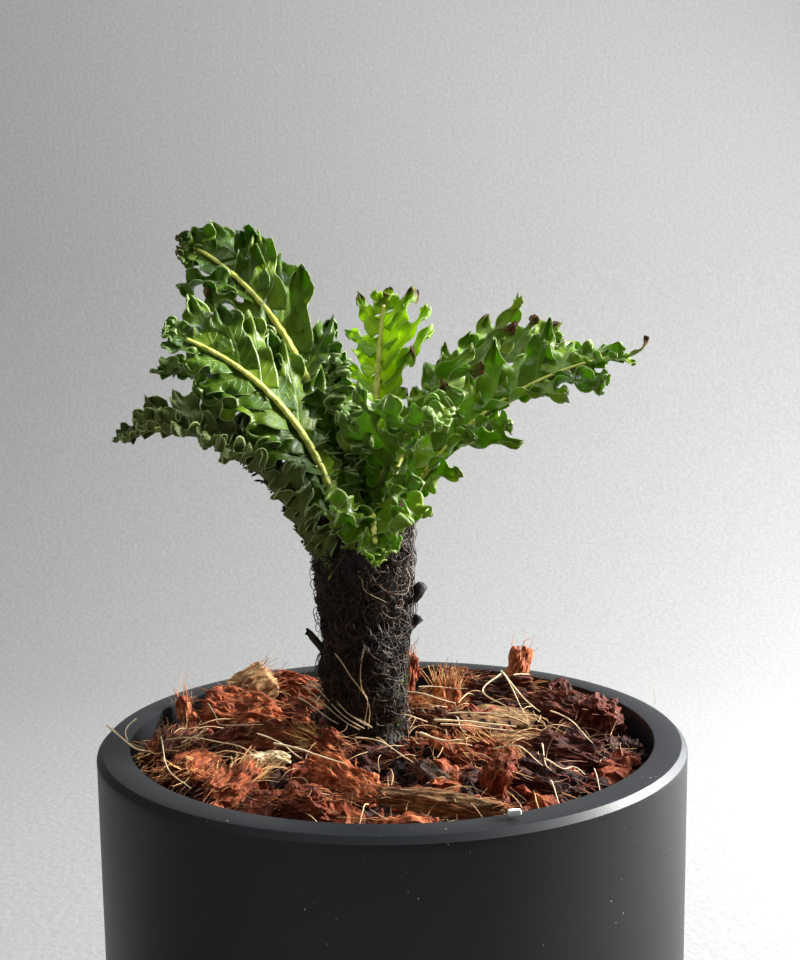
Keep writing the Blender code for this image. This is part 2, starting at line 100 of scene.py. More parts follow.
# Where the ruffling starts and is full, as shares of a lobe's length.
CALM = {
    "frond_rear_left": (0.22, 0.60),
    "frond_mid_left": (0.22, 0.60),
    "frond_back_centre": (0.20, 0.60),
}
# How much narrower lobes get before they widen again.
WAIST = {
    "frond_rear_left": 0.40,
    "frond_back_centre": 0.44,
    "frond_upper_right": 0.10,
    "frond_long_right": 0.14,
}
# How much the lobes draw out to a point.
POINTED = {
    "frond_rear_left": 0.12,
    "frond_back_centre": 0.25,
    "frond_upper_right": 0.62,
    "frond_long_right": 0.50,
    "frond_low_left": 0.30,
}
# The end lobe: length and breadth in mm, curl in degrees, how scorched.
TIPS = {
    "frond_long_right": (9.5, 3.4, 85, 1.0),
    "frond_rear_left": (6.0, 6.0, 60, 0.8),
    "frond_back_centre": (4.0, 5.0, 60, 0.9),
    "frond_upper_right": (6.0, 4.5, 50, 0.8),
}
# How much shorter the lobes are at a frond's tip.
TIP_TAPER = {"frond_rear_left": 0.45, "frond_mid_left": 0.35, "frond_long_right": 0.45}
# Fronds whose lowest lobes sit nearer the trunk than the rest.
LOW_START = {"frond_low_left": 0.10, "frond_front_right": 0.10, "frond_front_centre": 0.10}
# How often a lobe's end is scorched.
BURNT = {
    "frond_rear_left": 0.26,
    "frond_back_centre": 0.30,
    "frond_upper_right": 0.10,
    "frond_long_right": 0.03,
}
LEAF_THICKNESS = 0.24 * MM
RIB_THICKNESS = 1.35 * MM
LOBE_ROWS = 26
LOBE_COLUMNS = 15
LOBE_POINTS = LOBE_ROWS * LOBE_COLUMNS * 2
STEPS_ALONG_FROND = 240

LOW_ROOTS = 1050
HIGH_ROOTS = 950
ROOTLETS = 900
MOSS_CUSHIONS = 150
THREADS = 250
FRAYS_PER_CHIP = 30
BRUSH_FIBRES = 70
MOST_SKIN_FIBRES = 120
MOST_SHORN_FIBRES = 14

POT_FOOT_RADIUS = 73.5 * MM
RIM_INNER_RADIUS = 66.8 * MM
POT_SEGMENTS = 256
SHARP_ANGLE = math.radians(30)
BED_RADIUS = 62 * MM
BED_EDGE = 65.5 * MM
TRUNK_CLEARING = 11 * MM
THREAD_CLEARING = 12 * MM
MERGE_DISTANCE = 0.01 * MM


# ---------------------------------------------------------------- helpers


def lattice(cells, seed):
    """A repeatable value from -1 to 1 at every whole-numbered corner."""
    mixed = (
        cells[..., 0] * 374761393
        + cells[..., 1] * 668265263
        + cells[..., 2] * 1440662683
        + seed * 1274126177
    ) & 0xFFFFFFFF
    mixed = ((mixed ^ (mixed >> 13)) * 1274126177) & 0xFFFFFFFF
    mixed = (mixed ^ (mixed >> 16)) & 0xFFFFFF
    return mixed / float(0xFFFFFF) * 2.0 - 1.0


def roughness_at(points, seed=0):
    """Smooth noise from -1 to 1 at points whose features are one unit big."""
    points = np.asarray(points, float)
    floor = np.floor(points).astype(np.int64)
    part = points - floor
    part = part * part * (3 - 2 * part)
    total = np.zeros(points.shape[:-1])
    for corner in range(8):
        bits = np.array([(corner >> axis) & 1 for axis in range(3)])
        weight = np.prod(np.where(bits, part, 1 - part), axis=-1)
        total += weight * lattice(floor + bits, seed)
    return total


def smoothstep(low, high, value):
    share = np.clip((value - low) / (high - low), 0, 1)
    return share * share * (3 - 2 * share)


def placed(name, data):
    obj = bpy.data.objects.new(name, data)
    bpy.context.scene.collection.objects.link(obj)
    return obj


def cut_finer(node, cuts):
    """A node's own solid, its edges cut into shorter ones."""
    bm = bmesh.new()
    bm.from_mesh(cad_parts[node].data)
    bmesh.ops.remove_doubles(bm, verts=bm.verts[:], dist=MERGE_DISTANCE)
    bmesh.ops.subdivide_edges(bm, edges=bm.edges[:], cuts=cuts, use_grid_fill=True)
    return bm


def soften(bm, factor):
    bmesh.ops.smooth_vert(
        bm, verts=bm.verts[:], factor=factor, use_axis_x=True, use_axis_y=True, use_axis_z=True
    )


def spent(bm):
    """The points and faces of a working mesh, which is then freed."""
    points = np.array([v.co for v in bm.verts])
    faces = [[v.index for v in f.verts] for f in bm.faces]
    bm.free()
    return points, faces


def to_piece(name, bm, finish=None):
    """A mesh object made of a working mesh, which is then freed."""
    mesh = bpy.data.meshes.new(name)
    bm.to_mesh(mesh)
    bm.free()
    if finish is not None:
        mesh.materials.append(finish)
    return placed(name, mesh)


def mesh_object(name, verts, faces, material, values=None, smooth=True):
    """A mesh piece with per-point values for its material to read."""
    mesh = bpy.data.meshes.new(name)
    mesh.from_pydata(
        np.asarray(verts).tolist(), [], [list(map(int, face)) for face in faces]
    )
    for key, data in (values or {}).items():
        data = np.asarray(data, np.float32)
        kind = "FLOAT_VECTOR" if data.ndim == 2 else "FLOAT"
        layer = mesh.attributes.new(key, kind, "POINT")
        layer.data.foreach_set("vector" if data.ndim == 2 else "value", data.ravel())
    materials = material if isinstance(material, list) else [material]
    for item in materials:
        mesh.materials.append(item)
    if smooth:
        mesh.polygons.foreach_set("use_smooth", np.ones(len(mesh.polygons), bool))
    mesh.update()
    return placed(name, mesh)


def attach(obj, slot, *nodes):
    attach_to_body(obj, "root")
    if nodes:
        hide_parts(*nodes)
    return obj


def unit(vectors):
    vectors = np.asarray(vectors, float)
    size = np.linalg.norm(vectors, axis=-1, keepdims=True)
    return vectors / np.maximum(size, 1e-12)


def smooth_path(points, count):
    """Catmull-Rom through the points, in metres."""
    points = np.asarray(points, float)
    padded = np.vstack([2 * points[0] - points[1], points, 2 * points[-1] - points[-2]])
    made = []
    for share in np.linspace(0, len(points) - 1, count):
        start = min(int(share), len(points) - 2)
        t = share - start
        a, b, c, d = padded[start : start + 4]
        made.append(
            0.5
            * (
                2 * b
                + (c - a) * t
                + (2 * a - 5 * b + 4 * c - d) * t * t
                + (3 * b - a - 3 * c + d) * t**3
            )
        )
    return np.array(made)


# ----------------------------------------------------------- node building


class Recipe:
    """A material being built: its nodes, its shader and its coordinates."""

    def __init__(self, name):
        self.material = bpy.data.materials.new(name)
        self.material.use_nodes = True
        self.nodes = self.material.node_tree.nodes
        self.links = self.material.node_tree.links
        self.shader = self.nodes["Principled BSDF"]
        self.place = self.nodes.new("ShaderNodeTexCoord").outputs["Object"]

    def feed(self, socket, value):
        """Sets a socket to a number or a colour, or links it to an output."""
        if isinstance(value, (int, float)):
            socket.default_value = value
        elif isinstance(value, tuple):
            socket.default_value = (*value, 1.0)
        else:
            self.links.new(value, socket)

    def give(self, label, value):
        self.feed(self.shader.inputs[label], value)

    def stored(self, key, output="Fac"):
        node = self.nodes.new("ShaderNodeAttribute")
        node.attribute_name = key
        return node.outputs[output]

    def speckle(self, coordinate, scale, detail=4, stretch=None, rough=0.55):
        """Noise on a coordinate, drawn out along its axes if stretch is given."""
        noise = self.nodes.new("ShaderNodeTexNoise")
        noise.inputs["Scale"].default_value = scale
        noise.inputs["Detail"].default_value = detail
        noise.inputs["Roughness"].default_value = rough
        if stretch is not None:
            mapping = self.nodes.new("ShaderNodeMapping")
            mapping.inputs["Scale"].default_value = stretch
            self.links.new(coordinate, mapping.inputs["Vector"])
            coordinate = mapping.outputs["Vector"]
        self.links.new(coordinate, noise.inputs["Vector"])
        return noise.outputs["Fac"]

    def ramp(self, factor, stops):
        node = self.nodes.new("ShaderNodeValToRGB")
        elements = node.color_ramp.elements
        while len(elements) < len(stops):
            elements.new(0.5)
        for element, (place, colour) in zip(elements, stops):
            element.position = place
            element.color = (*colour, 1.0)
        self.links.new(factor, node.inputs["Fac"])
        return node.outputs["Color"]

    def grey_ramp(self, factor, stops):
        return self.ramp(factor, [(place, (v, v, v)) for place, v in stops])

    def blend(self, factor, first, second):
        node = self.nodes.new("ShaderNodeMix")
        node.data_type = "RGBA"
        for socket, value in ((0, factor), (6, first), (7, second)):
            self.feed(node.inputs[socket], value)
        return node.outputs[2]

    def maths(self, operation, first, second=0.0):
        node = self.nodes.new("ShaderNodeMath")
        node.operation = operation
        for index, value in enumerate((first, second)):
            self.feed(node.inputs[index], value)
        return node.outputs[0]

    def add(self, first, second):
        return self.maths("ADD", first, second)

    def times(self, first, second):
        return self.maths("MULTIPLY", first, second)

    def rough(self, pattern, span, low):
        """Roughness that follows a pattern, over a lowest value."""
        self.give("Roughness", self.add(self.times(pattern, span), low))

    def bump(self, height, strength, distance):
        node = self.nodes.new("ShaderNodeBump")
        node.inputs["Strength"].default_value = strength
        node.inputs["Distance"].default_value = distance
        self.links.new(height, node.inputs["Height"])
        self.links.new(node.outputs["Normal"], self.shader.inputs["Normal"])


# --------------------------------------------------------------- materials


def leaf_material(name, deep, mid, bright, through, glow, sheen=0.26, pale=0.25):
    """Glossy blade: midvein, forked veins, pale margin, scorched ends."""
    look = Recipe(name)
    keys = ("tone", "across", "along", "margin", "scorch", "under")
    tone, across, along, margin, scorch, under = [look.stored(key) for key in keys]
    patch = look.speckle(look.place, 260, 3)
    mottle = look.add(look.times(patch, 0.55), look.times(tone, 0.5))
    colour = look.ramp(mottle, [(0.18, deep), (0.55, mid), (0.92, bright)])
    side = look.maths("ABSOLUTE", across)
    main_vein = look.grey_ramp(side, [(0.0, 1.0), (0.055, 0.85), (0.10, 0.0)])
    phase = look.maths("SUBTRACT", along, look.times(side, 0.30))
    wave = look.maths("SINE", look.times(phase, 44.0))
    side_vein = look.grey_ramp(wave, [(0.90, 0.0), (0.985, 0.55)])
    veins = look.maths("MAXIMUM", main_vein, side_vein)
    fade = look.grey_ramp(along, [(0.45, 1.0), (0.92, 0.25)])
    veins = look.times(veins, fade)
    vein_mix = look.times(veins, 0.55)
    colour = look.blend(vein_mix, colour, (0.19, 0.30, 0.035))
    beneath = look.times(under, pale)
    colour = look.blend(beneath, colour, (0.115, 0.165, 0.035))
    edge = look.grey_ramp(margin, [(0.45, 0.0), (0.78, 0.9)])
    colour = look.blend(edge, colour, (0.46, 0.58, 0.22))
    burnt = look.speckle(look.place, 900, 3)
    burnt = look.ramp(burnt, [(0.35, (0.035, 0.012, 0.006)), (0.62, (0.24, 0.10, 0.05))])
    colour = look.blend(scorch, colour, burnt)
    look.give("Base Color", colour)
    rough = look.times(look.speckle(look.place, 700, 2), 0.16)
    rough = look.add(rough, sheen + 0.02)
    rough = look.add(rough, look.times(under, 0.3 * pale))
    rough = look.add(rough, look.times(scorch, 0.4))
    look.give("Roughness", rough)
    look.give("Specular IOR Level", 0.32)
    fine = look.speckle(look.place, 1500, 3)
    height = look.add(look.times(fine, 0.4), veins)
    look.bump(height, 0.5, 0.25 * MM)
    glass = look.nodes.new("ShaderNodeBsdfTranslucent")
    lit = look.blend(vein_mix, glow, (0.45, 0.55, 0.10))
    lit = look.blend(scorch, lit, (0.10, 0.04, 0.02))
    look.links.new(lit, glass.inputs["Color"])
    mix = look.nodes.new("ShaderNodeMixShader")
    mix.inputs[0].default_value = through
    look.links.new(look.shader.outputs[0], mix.inputs[1])
    look.links.new(glass.outputs[0], mix.inputs[2])
    look.links.new(mix.outputs[0], look.nodes["Material Output"].inputs["Surface"])
    return look.material


def rib_material():
    """Pale rib with darker flecks and an olive underside."""
    look = Recipe("frond_rib")
    under = look.stored("under")
    base = look.stored("base")
    streak = look.speckle(look.place, 420, 4)
    colour = look.ramp(
        streak,
        [(0.3, (0.46, 0.50, 0.05)), (0.55, (0.72, 0.73, 0.12)), (0.85, (0.88, 0.86, 0.30))],
    )
    colour = look.blend(under, colour, (0.15, 0.17, 0.055))
    fleck = look.speckle(look.place, 1300, 2)
    fleck = look.grey_ramp(fleck, [(0.56, 0.0), (0.62, 1.0)])
    dark = look.times(fleck, base)
    colour = look.blend(dark, colour, (0.03, 0.02, 0.012))
    look.give("Base Color", colour)
    look.rough(streak, 0.3, 0.28)
    look.bump(streak, 0.9, 0.6 * MM)
    return look.material


def husk_material(name, dark, mid, light, straw):
    """Stringy husk: colour and relief drawn out along the chip's grain."""
    look = Recipe(name)
    grain = look.stored("grain", "Vector")
    tint = look.stored("tint")
    strings = look.speckle(grain, 1000, 5, (0.30, 1.0, 1.0), 0.65)
    hairs = look.speckle(grain, 2600, 3, (0.16, 1.0, 1.0), 0.6)
    blotch = look.speckle(look.place, 230, 4)
    mixed = look.times(strings, 0.62)
    mixed = look.add(mixed, look.times(blotch, 0.38))
    lifted = look.maths("SUBTRACT", tint, 0.5)
    lifted = look.times(lifted, 0.22)
    mixed = look.add(mixed, lifted)
    colour = look.ramp(mixed, [(0.34, dark), (0.50, mid), (0.64, light), (0.76, straw)])
    golden = look.grey_ramp(hairs, [(0.60, 0.0), (0.70, 0.75)])
    colour = look.blend(golden, colour, straw)
    look.give("Base Color", colour)
    look.rough(strings, 0.25, 0.62)
    look.give("Specular IOR Level", 0.3)
    relief = look.add(strings, look.times(hairs, 0.7))
    look.bump(relief, 0.9, 0.5 * MM)
    return look.material


def strand_material(name, dark, light, rough_low, shine):
    """Thin round strands, each one its own shade."""
    look = Recipe(name)
    tint = look.stored("tint")
    worn = look.speckle(look.place, 800, 3)
    mixed = look.times(worn, 0.5)
    mixed = look.add(mixed, look.times(tint, 0.6))
    colour = look.ramp(mixed, [(0.2, dark), (0.85, light)])
    look.give("Base Color", colour)
    look.rough(worn, 0.3, rough_low)
    look.give("Specular IOR Level", shine)
    look.bump(worn, 0.3, 0.1 * MM)
    return look.material


def pot_material():
    """Dark matt glaze with a fine tooth, faint clouding and dust specks."""
    look = Recipe("pot_charcoal_glaze")
    cloud = look.speckle(look.place, 18, 4)
    tooth = look.speckle(look.place, 2600, 3)
    colour = look.ramp(cloud, [(0.3, (0.007, 0.0085, 0.0105)), (0.7, (0.012, 0.014, 0.017))])
    dust = look.nodes.new("ShaderNodeTexVoronoi")
    dust.inputs["Scale"].default_value = 420
    look.links.new(look.place, dust.inputs["Vector"])
    spot = look.grey_ramp(dust.outputs["Distance"], [(0.05, 1.0), (0.10, 0.0)])
    chance = look.speckle(look.place, 95, 2)
    chance = look.grey_ramp(chance, [(0.53, 0.0), (0.64, 0.8)])
    spot = look.times(spot, chance)
    colour = look.blend(spot, colour, (0.55, 0.54, 0.52))
    look.give("Base Color", colour)
    rough = look.times(tooth, 0.22)
    rough = look.add(rough, 0.34)
    look.give("Specular IOR Level", 0.30)
    rough = look.add(rough, look.times(spot, 0.3))
    look.give("Roughness", rough)
    look.bump(tooth, 0.12, 0.12 * MM)
    return look.material


def plain_noise_material(name, dark, light, scale, rough):
    look = Recipe(name)
    grain = look.speckle(look.place, scale, 5)
    colour = look.ramp(grain, [(0.32, dark), (0.68, light)])
    look.give("Base Color", colour)
    look.rough(grain, 0.25, rough)
    look.bump(grain, 0.7, 0.6 * MM)
    return look.material


# ---------------------------------------------------- Geometry Nodes trees


def node_tree(name, inputs):
    """A tree with its inlet and outlet, and the usual last two steps."""
    tree = bpy.data.node_groups.new(name, "GeometryNodeTree")
    mesh = "NodeSocketGeometry"
    tree.interface.new_socket("Geometry", in_out="INPUT", socket_type=mesh)
    for label, kind in inputs:
        tree.interface.new_socket(label, in_out="INPUT", socket_type="NodeSocket" + kind)
    tree.interface.new_socket("Geometry", in_out="OUTPUT", socket_type=mesh)
    inlet = tree.nodes.new("NodeGroupInput")
    outlet = tree.nodes.new("NodeGroupOutput")
    real = tree.nodes.new("GeometryNodeRealizeInstances")
    finish = tree.nodes.new("GeometryNodeSetMaterial")
    wire(
        tree,
        (real, "Geometry", finish, "Geometry"),
        (inlet, "Finish", finish, "Material"),
        (finish, "Geometry", outlet, "Geometry"),
    )
    return tree, inlet, real


def wire(tree, *rows):
    for source, output, target, socket in rows:
        tree.links.new(source.outputs[output], target.inputs[socket])


def strand_tree():
    """Sweeps a small round section along every polyline of a mesh."""
    tree, inlet, real = node_tree(
        "strand_sweep", [("Thickness", "Float"), ("Sides", "Int"), ("Finish", "Material")]
    )
    nodes = tree.nodes
    curve = nodes.new("GeometryNodeMeshToCurve")
    section = nodes.new("GeometryNodeCurvePrimitiveCircle")
    section.inputs["Radius"].default_value = 1.0
    radius = nodes.new("GeometryNodeSetCurveRadius")
    thick = nodes.new("GeometryNodeInputNamedAttribute")
    thick.data_type = "FLOAT"
    thick.inputs["Name"].default_value = "thick"
    scaled = nodes.new("ShaderNodeMath")
    scaled.operation = "MULTIPLY"
    sweep = nodes.new("GeometryNodeCurveToMesh")
    sweep.inputs["Fill Caps"].default_value = True
    smooth = nodes.new("GeometryNodeSetShadeSmooth")
    wire(
        tree,
        (inlet, "Geometry", curve, "Mesh"),
        (inlet, "Sides", section, "Resolution"),
        (thick, "Attribute", scaled, 0),
        (inlet, "Thickness", scaled, 1),
        (curve, "Curve", radius, "Curve"),
        (scaled, 0, radius, "Radius"),
        (radius, "Curve", sweep, "Curve"),
        (section, "Curve", sweep, "Profile Curve"),
        (sweep, "Mesh", smooth, "Geometry"),
        (smooth, "Geometry", real, "Geometry"),
    )
    if "Scale" in sweep.inputs:
        spread = nodes.new("GeometryNodeInputRadius")
        wire(tree, (spread, 0, sweep, "Scale"))
    return tree


def scatter_tree():
    """Lays small loose pieces over a surface, each turned its own way."""
    numbers = [(label, "Float") for label in ("Smallest", "Largest", "Tilt")]
    tree, inlet, real = node_tree(
        "loose_scatter",
        [("Density", "Float"), ("Seed", "Int")]
        + numbers
        + [("Kinds", "Collection"), ("Finish", "Material")],
    )
    nodes = tree.nodes
    points = nodes.new("GeometryNodeDistributePointsOnFaces")
    kinds = nodes.new("GeometryNodeCollectionInfo")
    kinds.inputs["Separate Children"].default_value = True
    kinds.inputs["Reset Children"].default_value = True
    place = nodes.new("GeometryNodeInstanceOnPoints")
    place.inputs["Pick Instance"].default_value = True
    lean, size, tint = [nodes.new("FunctionNodeRandomValue") for _ in range(3)]
    lean.data_type = "FLOAT_VECTOR"
    size.data_type = tint.data_type = "FLOAT"
    low, high = [nodes.new("ShaderNodeCombineXYZ") for _ in range(2)]
    low.inputs[2].default_value = -math.pi
    high.inputs[2].default_value = math.pi
    flip = nodes.new("ShaderNodeMath")
    flip.operation = "MULTIPLY"
    flip.inputs[1].default_value = -1.0
    store = nodes.new("GeometryNodeStoreNamedAttribute")
    store.data_type = "FLOAT"
    store.domain = "INSTANCE"
    store.inputs["Name"].default_value = "tint"
    wire(
        tree,
        (inlet, "Tilt", flip, 0),
        (flip, 0, low, 0),
        (flip, 0, low, 1),
        (inlet, "Tilt", high, 0),
        (inlet, "Tilt", high, 1),
        (low, 0, lean, 0),
        (high, 0, lean, 1),
        (inlet, "Seed", lean, "Seed"),
        (inlet, "Smallest", size, 2),
        (inlet, "Largest", size, 3),
        (inlet, "Seed", size, "Seed"),
        (inlet, "Seed", tint, "Seed"),
        (inlet, "Geometry", points, "Mesh"),
        (inlet, "Density", points, "Density"),
        (inlet, "Seed", points, "Seed"),
        (points, "Points", place, "Points"),
        (inlet, "Kinds", kinds, "Collection"),
        (kinds, "Instances", place, "Instance"),
        (lean, 0, place, "Rotation"),
        (size, 1, place, "Scale"),
        (place, "Instances", store, "Geometry"),
        (tint, 1, store, "Value"),
        (store, "Geometry", real, "Geometry"),
    )
    return tree


def grown(obj, tree, settings):
    """Runs a tree on obj with its named inputs set, and keeps the plain mesh."""
    modifier = obj.modifiers.new("grow", "NODES")
    modifier.node_group = tree
    for item in tree.interface.items_tree:
        if item.item_type == "SOCKET" and item.in_out == "INPUT":
            if item.name in settings:
                modifier[item.identifier] = settings[item.name]
    graph = bpy.context.evaluated_depsgraph_get()
    mesh = bpy.data.meshes.new_from_object(obj.evaluated_get(graph))
    obj.modifiers.clear()
    obj.data = mesh
    return obj


STRAND_TREE = strand_tree()
SCATTER_TREE = scatter_tree()


def strands(name, paths, thicks, tints, sides, material):
    """Round strands along paths; thicks are radii at each point."""
    verts = np.vstack(paths)
    thick = np.concatenate(thicks)
    tint = np.concatenate([np.full(len(p), t) for p, t in zip(paths, tints)])
    edges = []
    start = 0
    for path in paths:
        edges += [(start + i, start + i + 1) for i in range(len(path) - 1)]
        start += len(path)
    mesh = bpy.data.meshes.new(name)
    mesh.from_pydata(verts.tolist(), edges, [])
    for key, data in (("thick", thick), ("tint", tint)):
        layer = mesh.attributes.new(key, "FLOAT", "POINT")
        layer.data.foreach_set("value", np.asarray(data, np.float32))
    settings = {"Thickness": 1.0, "Sides": sides, "Finish": material}
    return grown(placed(name, mesh), STRAND_TREE, settings)


# ------------------------------------------------------------------ fronds


def trunk_radius(height):
    share = np.clip(height / TRUNK_HEIGHT, 0, 1)
    return TRUNK_FOOT_RADIUS + (TRUNK_CROWN_RADIUS - TRUNK_FOOT_RADIUS) * share


def frond_line(spec, steps=STEPS_ALONG_FROND):
    """Places, directions, sides and ups along a midrib, as arrays."""
    head0, head1, rise0, rise1, length, height, bend = spec[:7]
    share = np.linspace(0, 1, steps + 1)
    rise = np.radians(rise0 + (rise1 - rise0) * share**bend)
    turn = np.radians(head0 + (head1 - head0) * share)
    roll = np.radians(spec[8] + (spec[9] - spec[8]) * share)
    way = np.stack(
        [np.cos(rise) * np.cos(turn), np.cos(rise) * np.sin(turn), np.sin(rise)], -1
    )
    first = math.radians(head0)
    out = trunk_radius(height * MM) - STEM_ROOT_INSET
    start = np.array(
        [
            TRUNK_X + out * math.cos(first),
            TRUNK_Y + out * math.sin(first),
            RIM_Z + height * MM,
        ]
    )
    place = start + np.vstack([np.zeros(3), np.cumsum(way[:-1], 0)]) * length * MM / steps
    level = np.stack([np.sin(turn), -np.cos(turn), np.zeros_like(turn)], -1)
    over = unit(np.cross(level, way))
    side = level * np.cos(roll)[:, None] + over * np.sin(roll)[:, None]
    up = over * np.cos(roll)[:, None] - level * np.sin(roll)[:, None]
    return place, way, side, up


def blade_width(share, bare):
    along = np.clip((share - bare) / (1 - bare), 0, 1)
    rise = np.minimum(1.0, along / 0.42)
    fall = np.where(along < 0.7, 1.0, 1 - 0.62 * (np.maximum(along - 0.7, 0) / 0.3) ** 1.6)
    return (0.3 + 0.7 * np.sin(rise * math.pi / 2)) * fall


def shell_faces(rows, columns):
    """Quads of a closed thin shell: a top grid, a bottom grid, four edges."""
    index = np.arange(rows * columns).reshape(rows, columns)
    low = index + rows * columns
    a, b, c, d = index[:-1, :-1], index[1:, :-1], index[1:, 1:], index[:-1, 1:]
    top = np.stack([a, b, c, d], -1).reshape(-1, 4)
    a, b, c, d = low[:-1, :-1], low[:-1, 1:], low[1:, 1:], low[1:, :-1]
    bottom = np.stack([a, b, c, d], -1).reshape(-1, 4)
    left = np.stack([index[:-1, 0], low[:-1, 0], low[1:, 0], index[1:, 0]], -1)
    right = np.stack([index[:-1, -1], index[1:, -1], low[1:, -1], low[:-1, -1]], -1)
    near = np.stack([low[0, :-1], index[0, :-1], index[0, 1:], low[0, 1:]], -1)
    far = np.stack([low[-1, :-1], low[-1, 1:], index[-1, 1:], index[-1, :-1]], -1)
    return np.vstack([top, bottom, left, right, near, far])


def lobe(base, way, normal, toward_tip, length, breadth, style):
    """One ruffled lobe as a closed shell: points and per-point values."""
    rows, columns = LOBE_ROWS, LOBE_COLUMNS
    u = np.linspace(0, 1, rows)
    spread = np.linspace(-1, 1, columns)
    v = np.sign(spread) * np.abs(spread) ** 0.85
    way = unit(way)
    broad = unit(np.cross(normal, way))
    normal = unit(np.cross(way, broad))
    curl = style["curl"] * u**1.7
    sweep = toward_tip * style["sweep"] * u
    bent = np.cos(curl)[:, None] * way + np.sin(curl)[:, None] * normal
    raised = np.cos(curl)[:, None] * normal - np.sin(curl)[:, None] * way
    onward = np.cos(sweep)[:, None] * bent + np.sin(sweep)[:, None] * broad
    wide = -np.sin(sweep)[:, None] * bent + np.cos(sweep)[:, None] * broad
    steps = np.vstack([np.zeros(3), (onward[:-1] + onward[1:]) / 2])
    middle = base + np.cumsum(steps, 0) * length / (rows - 1)
    half = 1.06 - style["waist"] * smoothstep(0.12, 0.50, u)
    half = half + 0.5 * style["waist"] * smoothstep(0.5, 0.8, u)
    half *= np.sqrt(1 - 0.97 * (np.maximum(u - 0.68, 0) / 0.32) ** 2.4)
    half *= 1 - style["point"] * smoothstep(0.35, 0.95, u)
    half = half * breadth / 2
    e = np.abs(v)[None, :]
    sign = np.sign(v)[None, :]
    uu = u[:, None]
    phase = np.where(v < 0, style["phase"][0], style["phase"][1])[None, :]
    jag = 1 + 0.10 * np.sin(math.tau * 3.3 * uu + phase * 2) * smoothstep(0.2, 0.7, uu)
    half = half[:, None] * np.where(e > 0.5, 1 + (jag - 1) * (e - 0.5) * 2, 1)
    turn = math.tau * style["waves"] * uu + phase
    strength = style["ruffle"] * smoothstep(style["calm"][0], style["calm"][1], uu)
    strength = strength * (0.8 + 0.35 * np.sin(3.1 * uu + phase))
    up = strength * e**1.4 * np.sin(turn)
    forward = -strength * 0.30 * e**2.0 * np.sin(2 * turn)
    ending = smoothstep(0.62, 1.0, uu)
    crimp = math.tau * 1.1 * v[None, :] + style["phase"][0] * 1.7
    up = up + style["ruffle"] * 0.75 * ending * (1 - e**2) * np.sin(crimp)
    sideways = -sign * strength * 0.16 * e**2 * (1 - np.cos(turn))
    up = up + style["cup"] * half * e**2
    quilt = np.sin(math.tau * (uu * 7 - e * 2.1))
    quilt = quilt * np.sin(math.pi * np.clip(e, 0, 1)) * smoothstep(0, 0.15, uu)
    up = up + 0.16 * MM * quilt
    up = up - 0.12 * MM * (1 - smoothstep(0.0, 0.12, e))
    tip = uu**5
    forward = forward - tip * e**2 * length * 0.04
    teeth = np.sin(np.linspace(0, math.tau * 2.5, columns) + style["phase"][0])[None, :]
    forward = forward + tip * teeth * length * 0.03
    points = (
        middle[:, None, :]
        + wide[:, None, :] * (half * v[None, :] + sideways)[..., None]
        + raised[:, None, :] * up[..., None]
        + onward[:, None, :] * forward[..., None]
    )
    along_u = np.gradient(points, axis=0)
    along_v = np.gradient(points, axis=1)
    facing = unit(np.cross(along_u, along_v))
    border = np.maximum(e, smoothstep(0.9, 1.0, uu))
    half_thick = LEAF_THICKNESS / 2 * (1 - 0.35 * border**4)
    top = points + facing * half_thick[..., None]
    bottom = points - facing * half_thick[..., None]
    rim = np.maximum(smoothstep(0.90, 0.99, e), smoothstep(0.955, 0.995, uu))
    rim = rim * smoothstep(0.0, 0.2, uu)
    burn = style["scorch"] * smoothstep(style["burn_from"], 1.0, uu + 0.12 * (e - 0.5))

    def both(grid):
        return np.tile(np.broadcast_to(grid, (rows, columns)).ravel(), 2)

    values = {
        "across": both(v[None, :]),
        "along": both(uu),
        "margin": both(rim),
        "scorch": np.clip(both(burn), 0, 1),
        "tone": np.full(LOBE_POINTS, style["tone"]),
        "under": np.repeat([0.0, 1.0], rows * columns),
        "base": np.zeros(LOBE_POINTS),
    }
    return np.vstack([top.reshape(-1, 3), bottom.reshape(-1, 3)]), values


def rib(spec, line, thick, pitch):
    """The tapering midrib with its notched sides, closed at both ends."""
    place, _, side, up = line
    pick = np.arange(0, len(place) - 6, 3)
    share = pick / (len(place) - 1)
    around = np.linspace(0, math.tau, 12, endpoint=False)
    width = thick * (1.15 - 0.80 * share)
    notch = 0.85 + 0.45 * np.abs(np.sin(share * spec[4] / pitch * math.pi * 2))
    notch = np.where(share > spec[10], notch, 1.0)
    rows = []
    for i, index in enumerate(pick):
        across = np.cos(around)[:, None] * side[index] * width[i] * notch[i]
        upward = np.sin(around)[:, None] * up[index] * width[i] * 0.85
        rows.append(place[index] + across + upward + up[index] * 0.75 * MM)
    verts = np.vstack(rows)
    count = len(around)
    index = np.arange(len(verts)).reshape(-1, count)
    nxt = np.roll(index, -1, axis=1)
    quads = np.stack([index[:-1], nxt[:-1], nxt[1:], index[1:]], -1).reshape(-1, 4)
    caps = [list(index[0][::-1]), list(index[-1])]
    lower = (np.sin(around) < -0.2).astype(float)
    values = {
        **dict.fromkeys(("across", "margin", "scorch", "tone"), np.zeros(len(verts))),
        "along": np.repeat(share, count),
        "under": np.tile(lower, len(pick)),
        "base": np.repeat(smoothstep(0.45, 0.12, share), count),
    }
    return verts, quads, caps, values


SHELL = shell_faces(LOBE_ROWS, LOBE_COLUMNS)


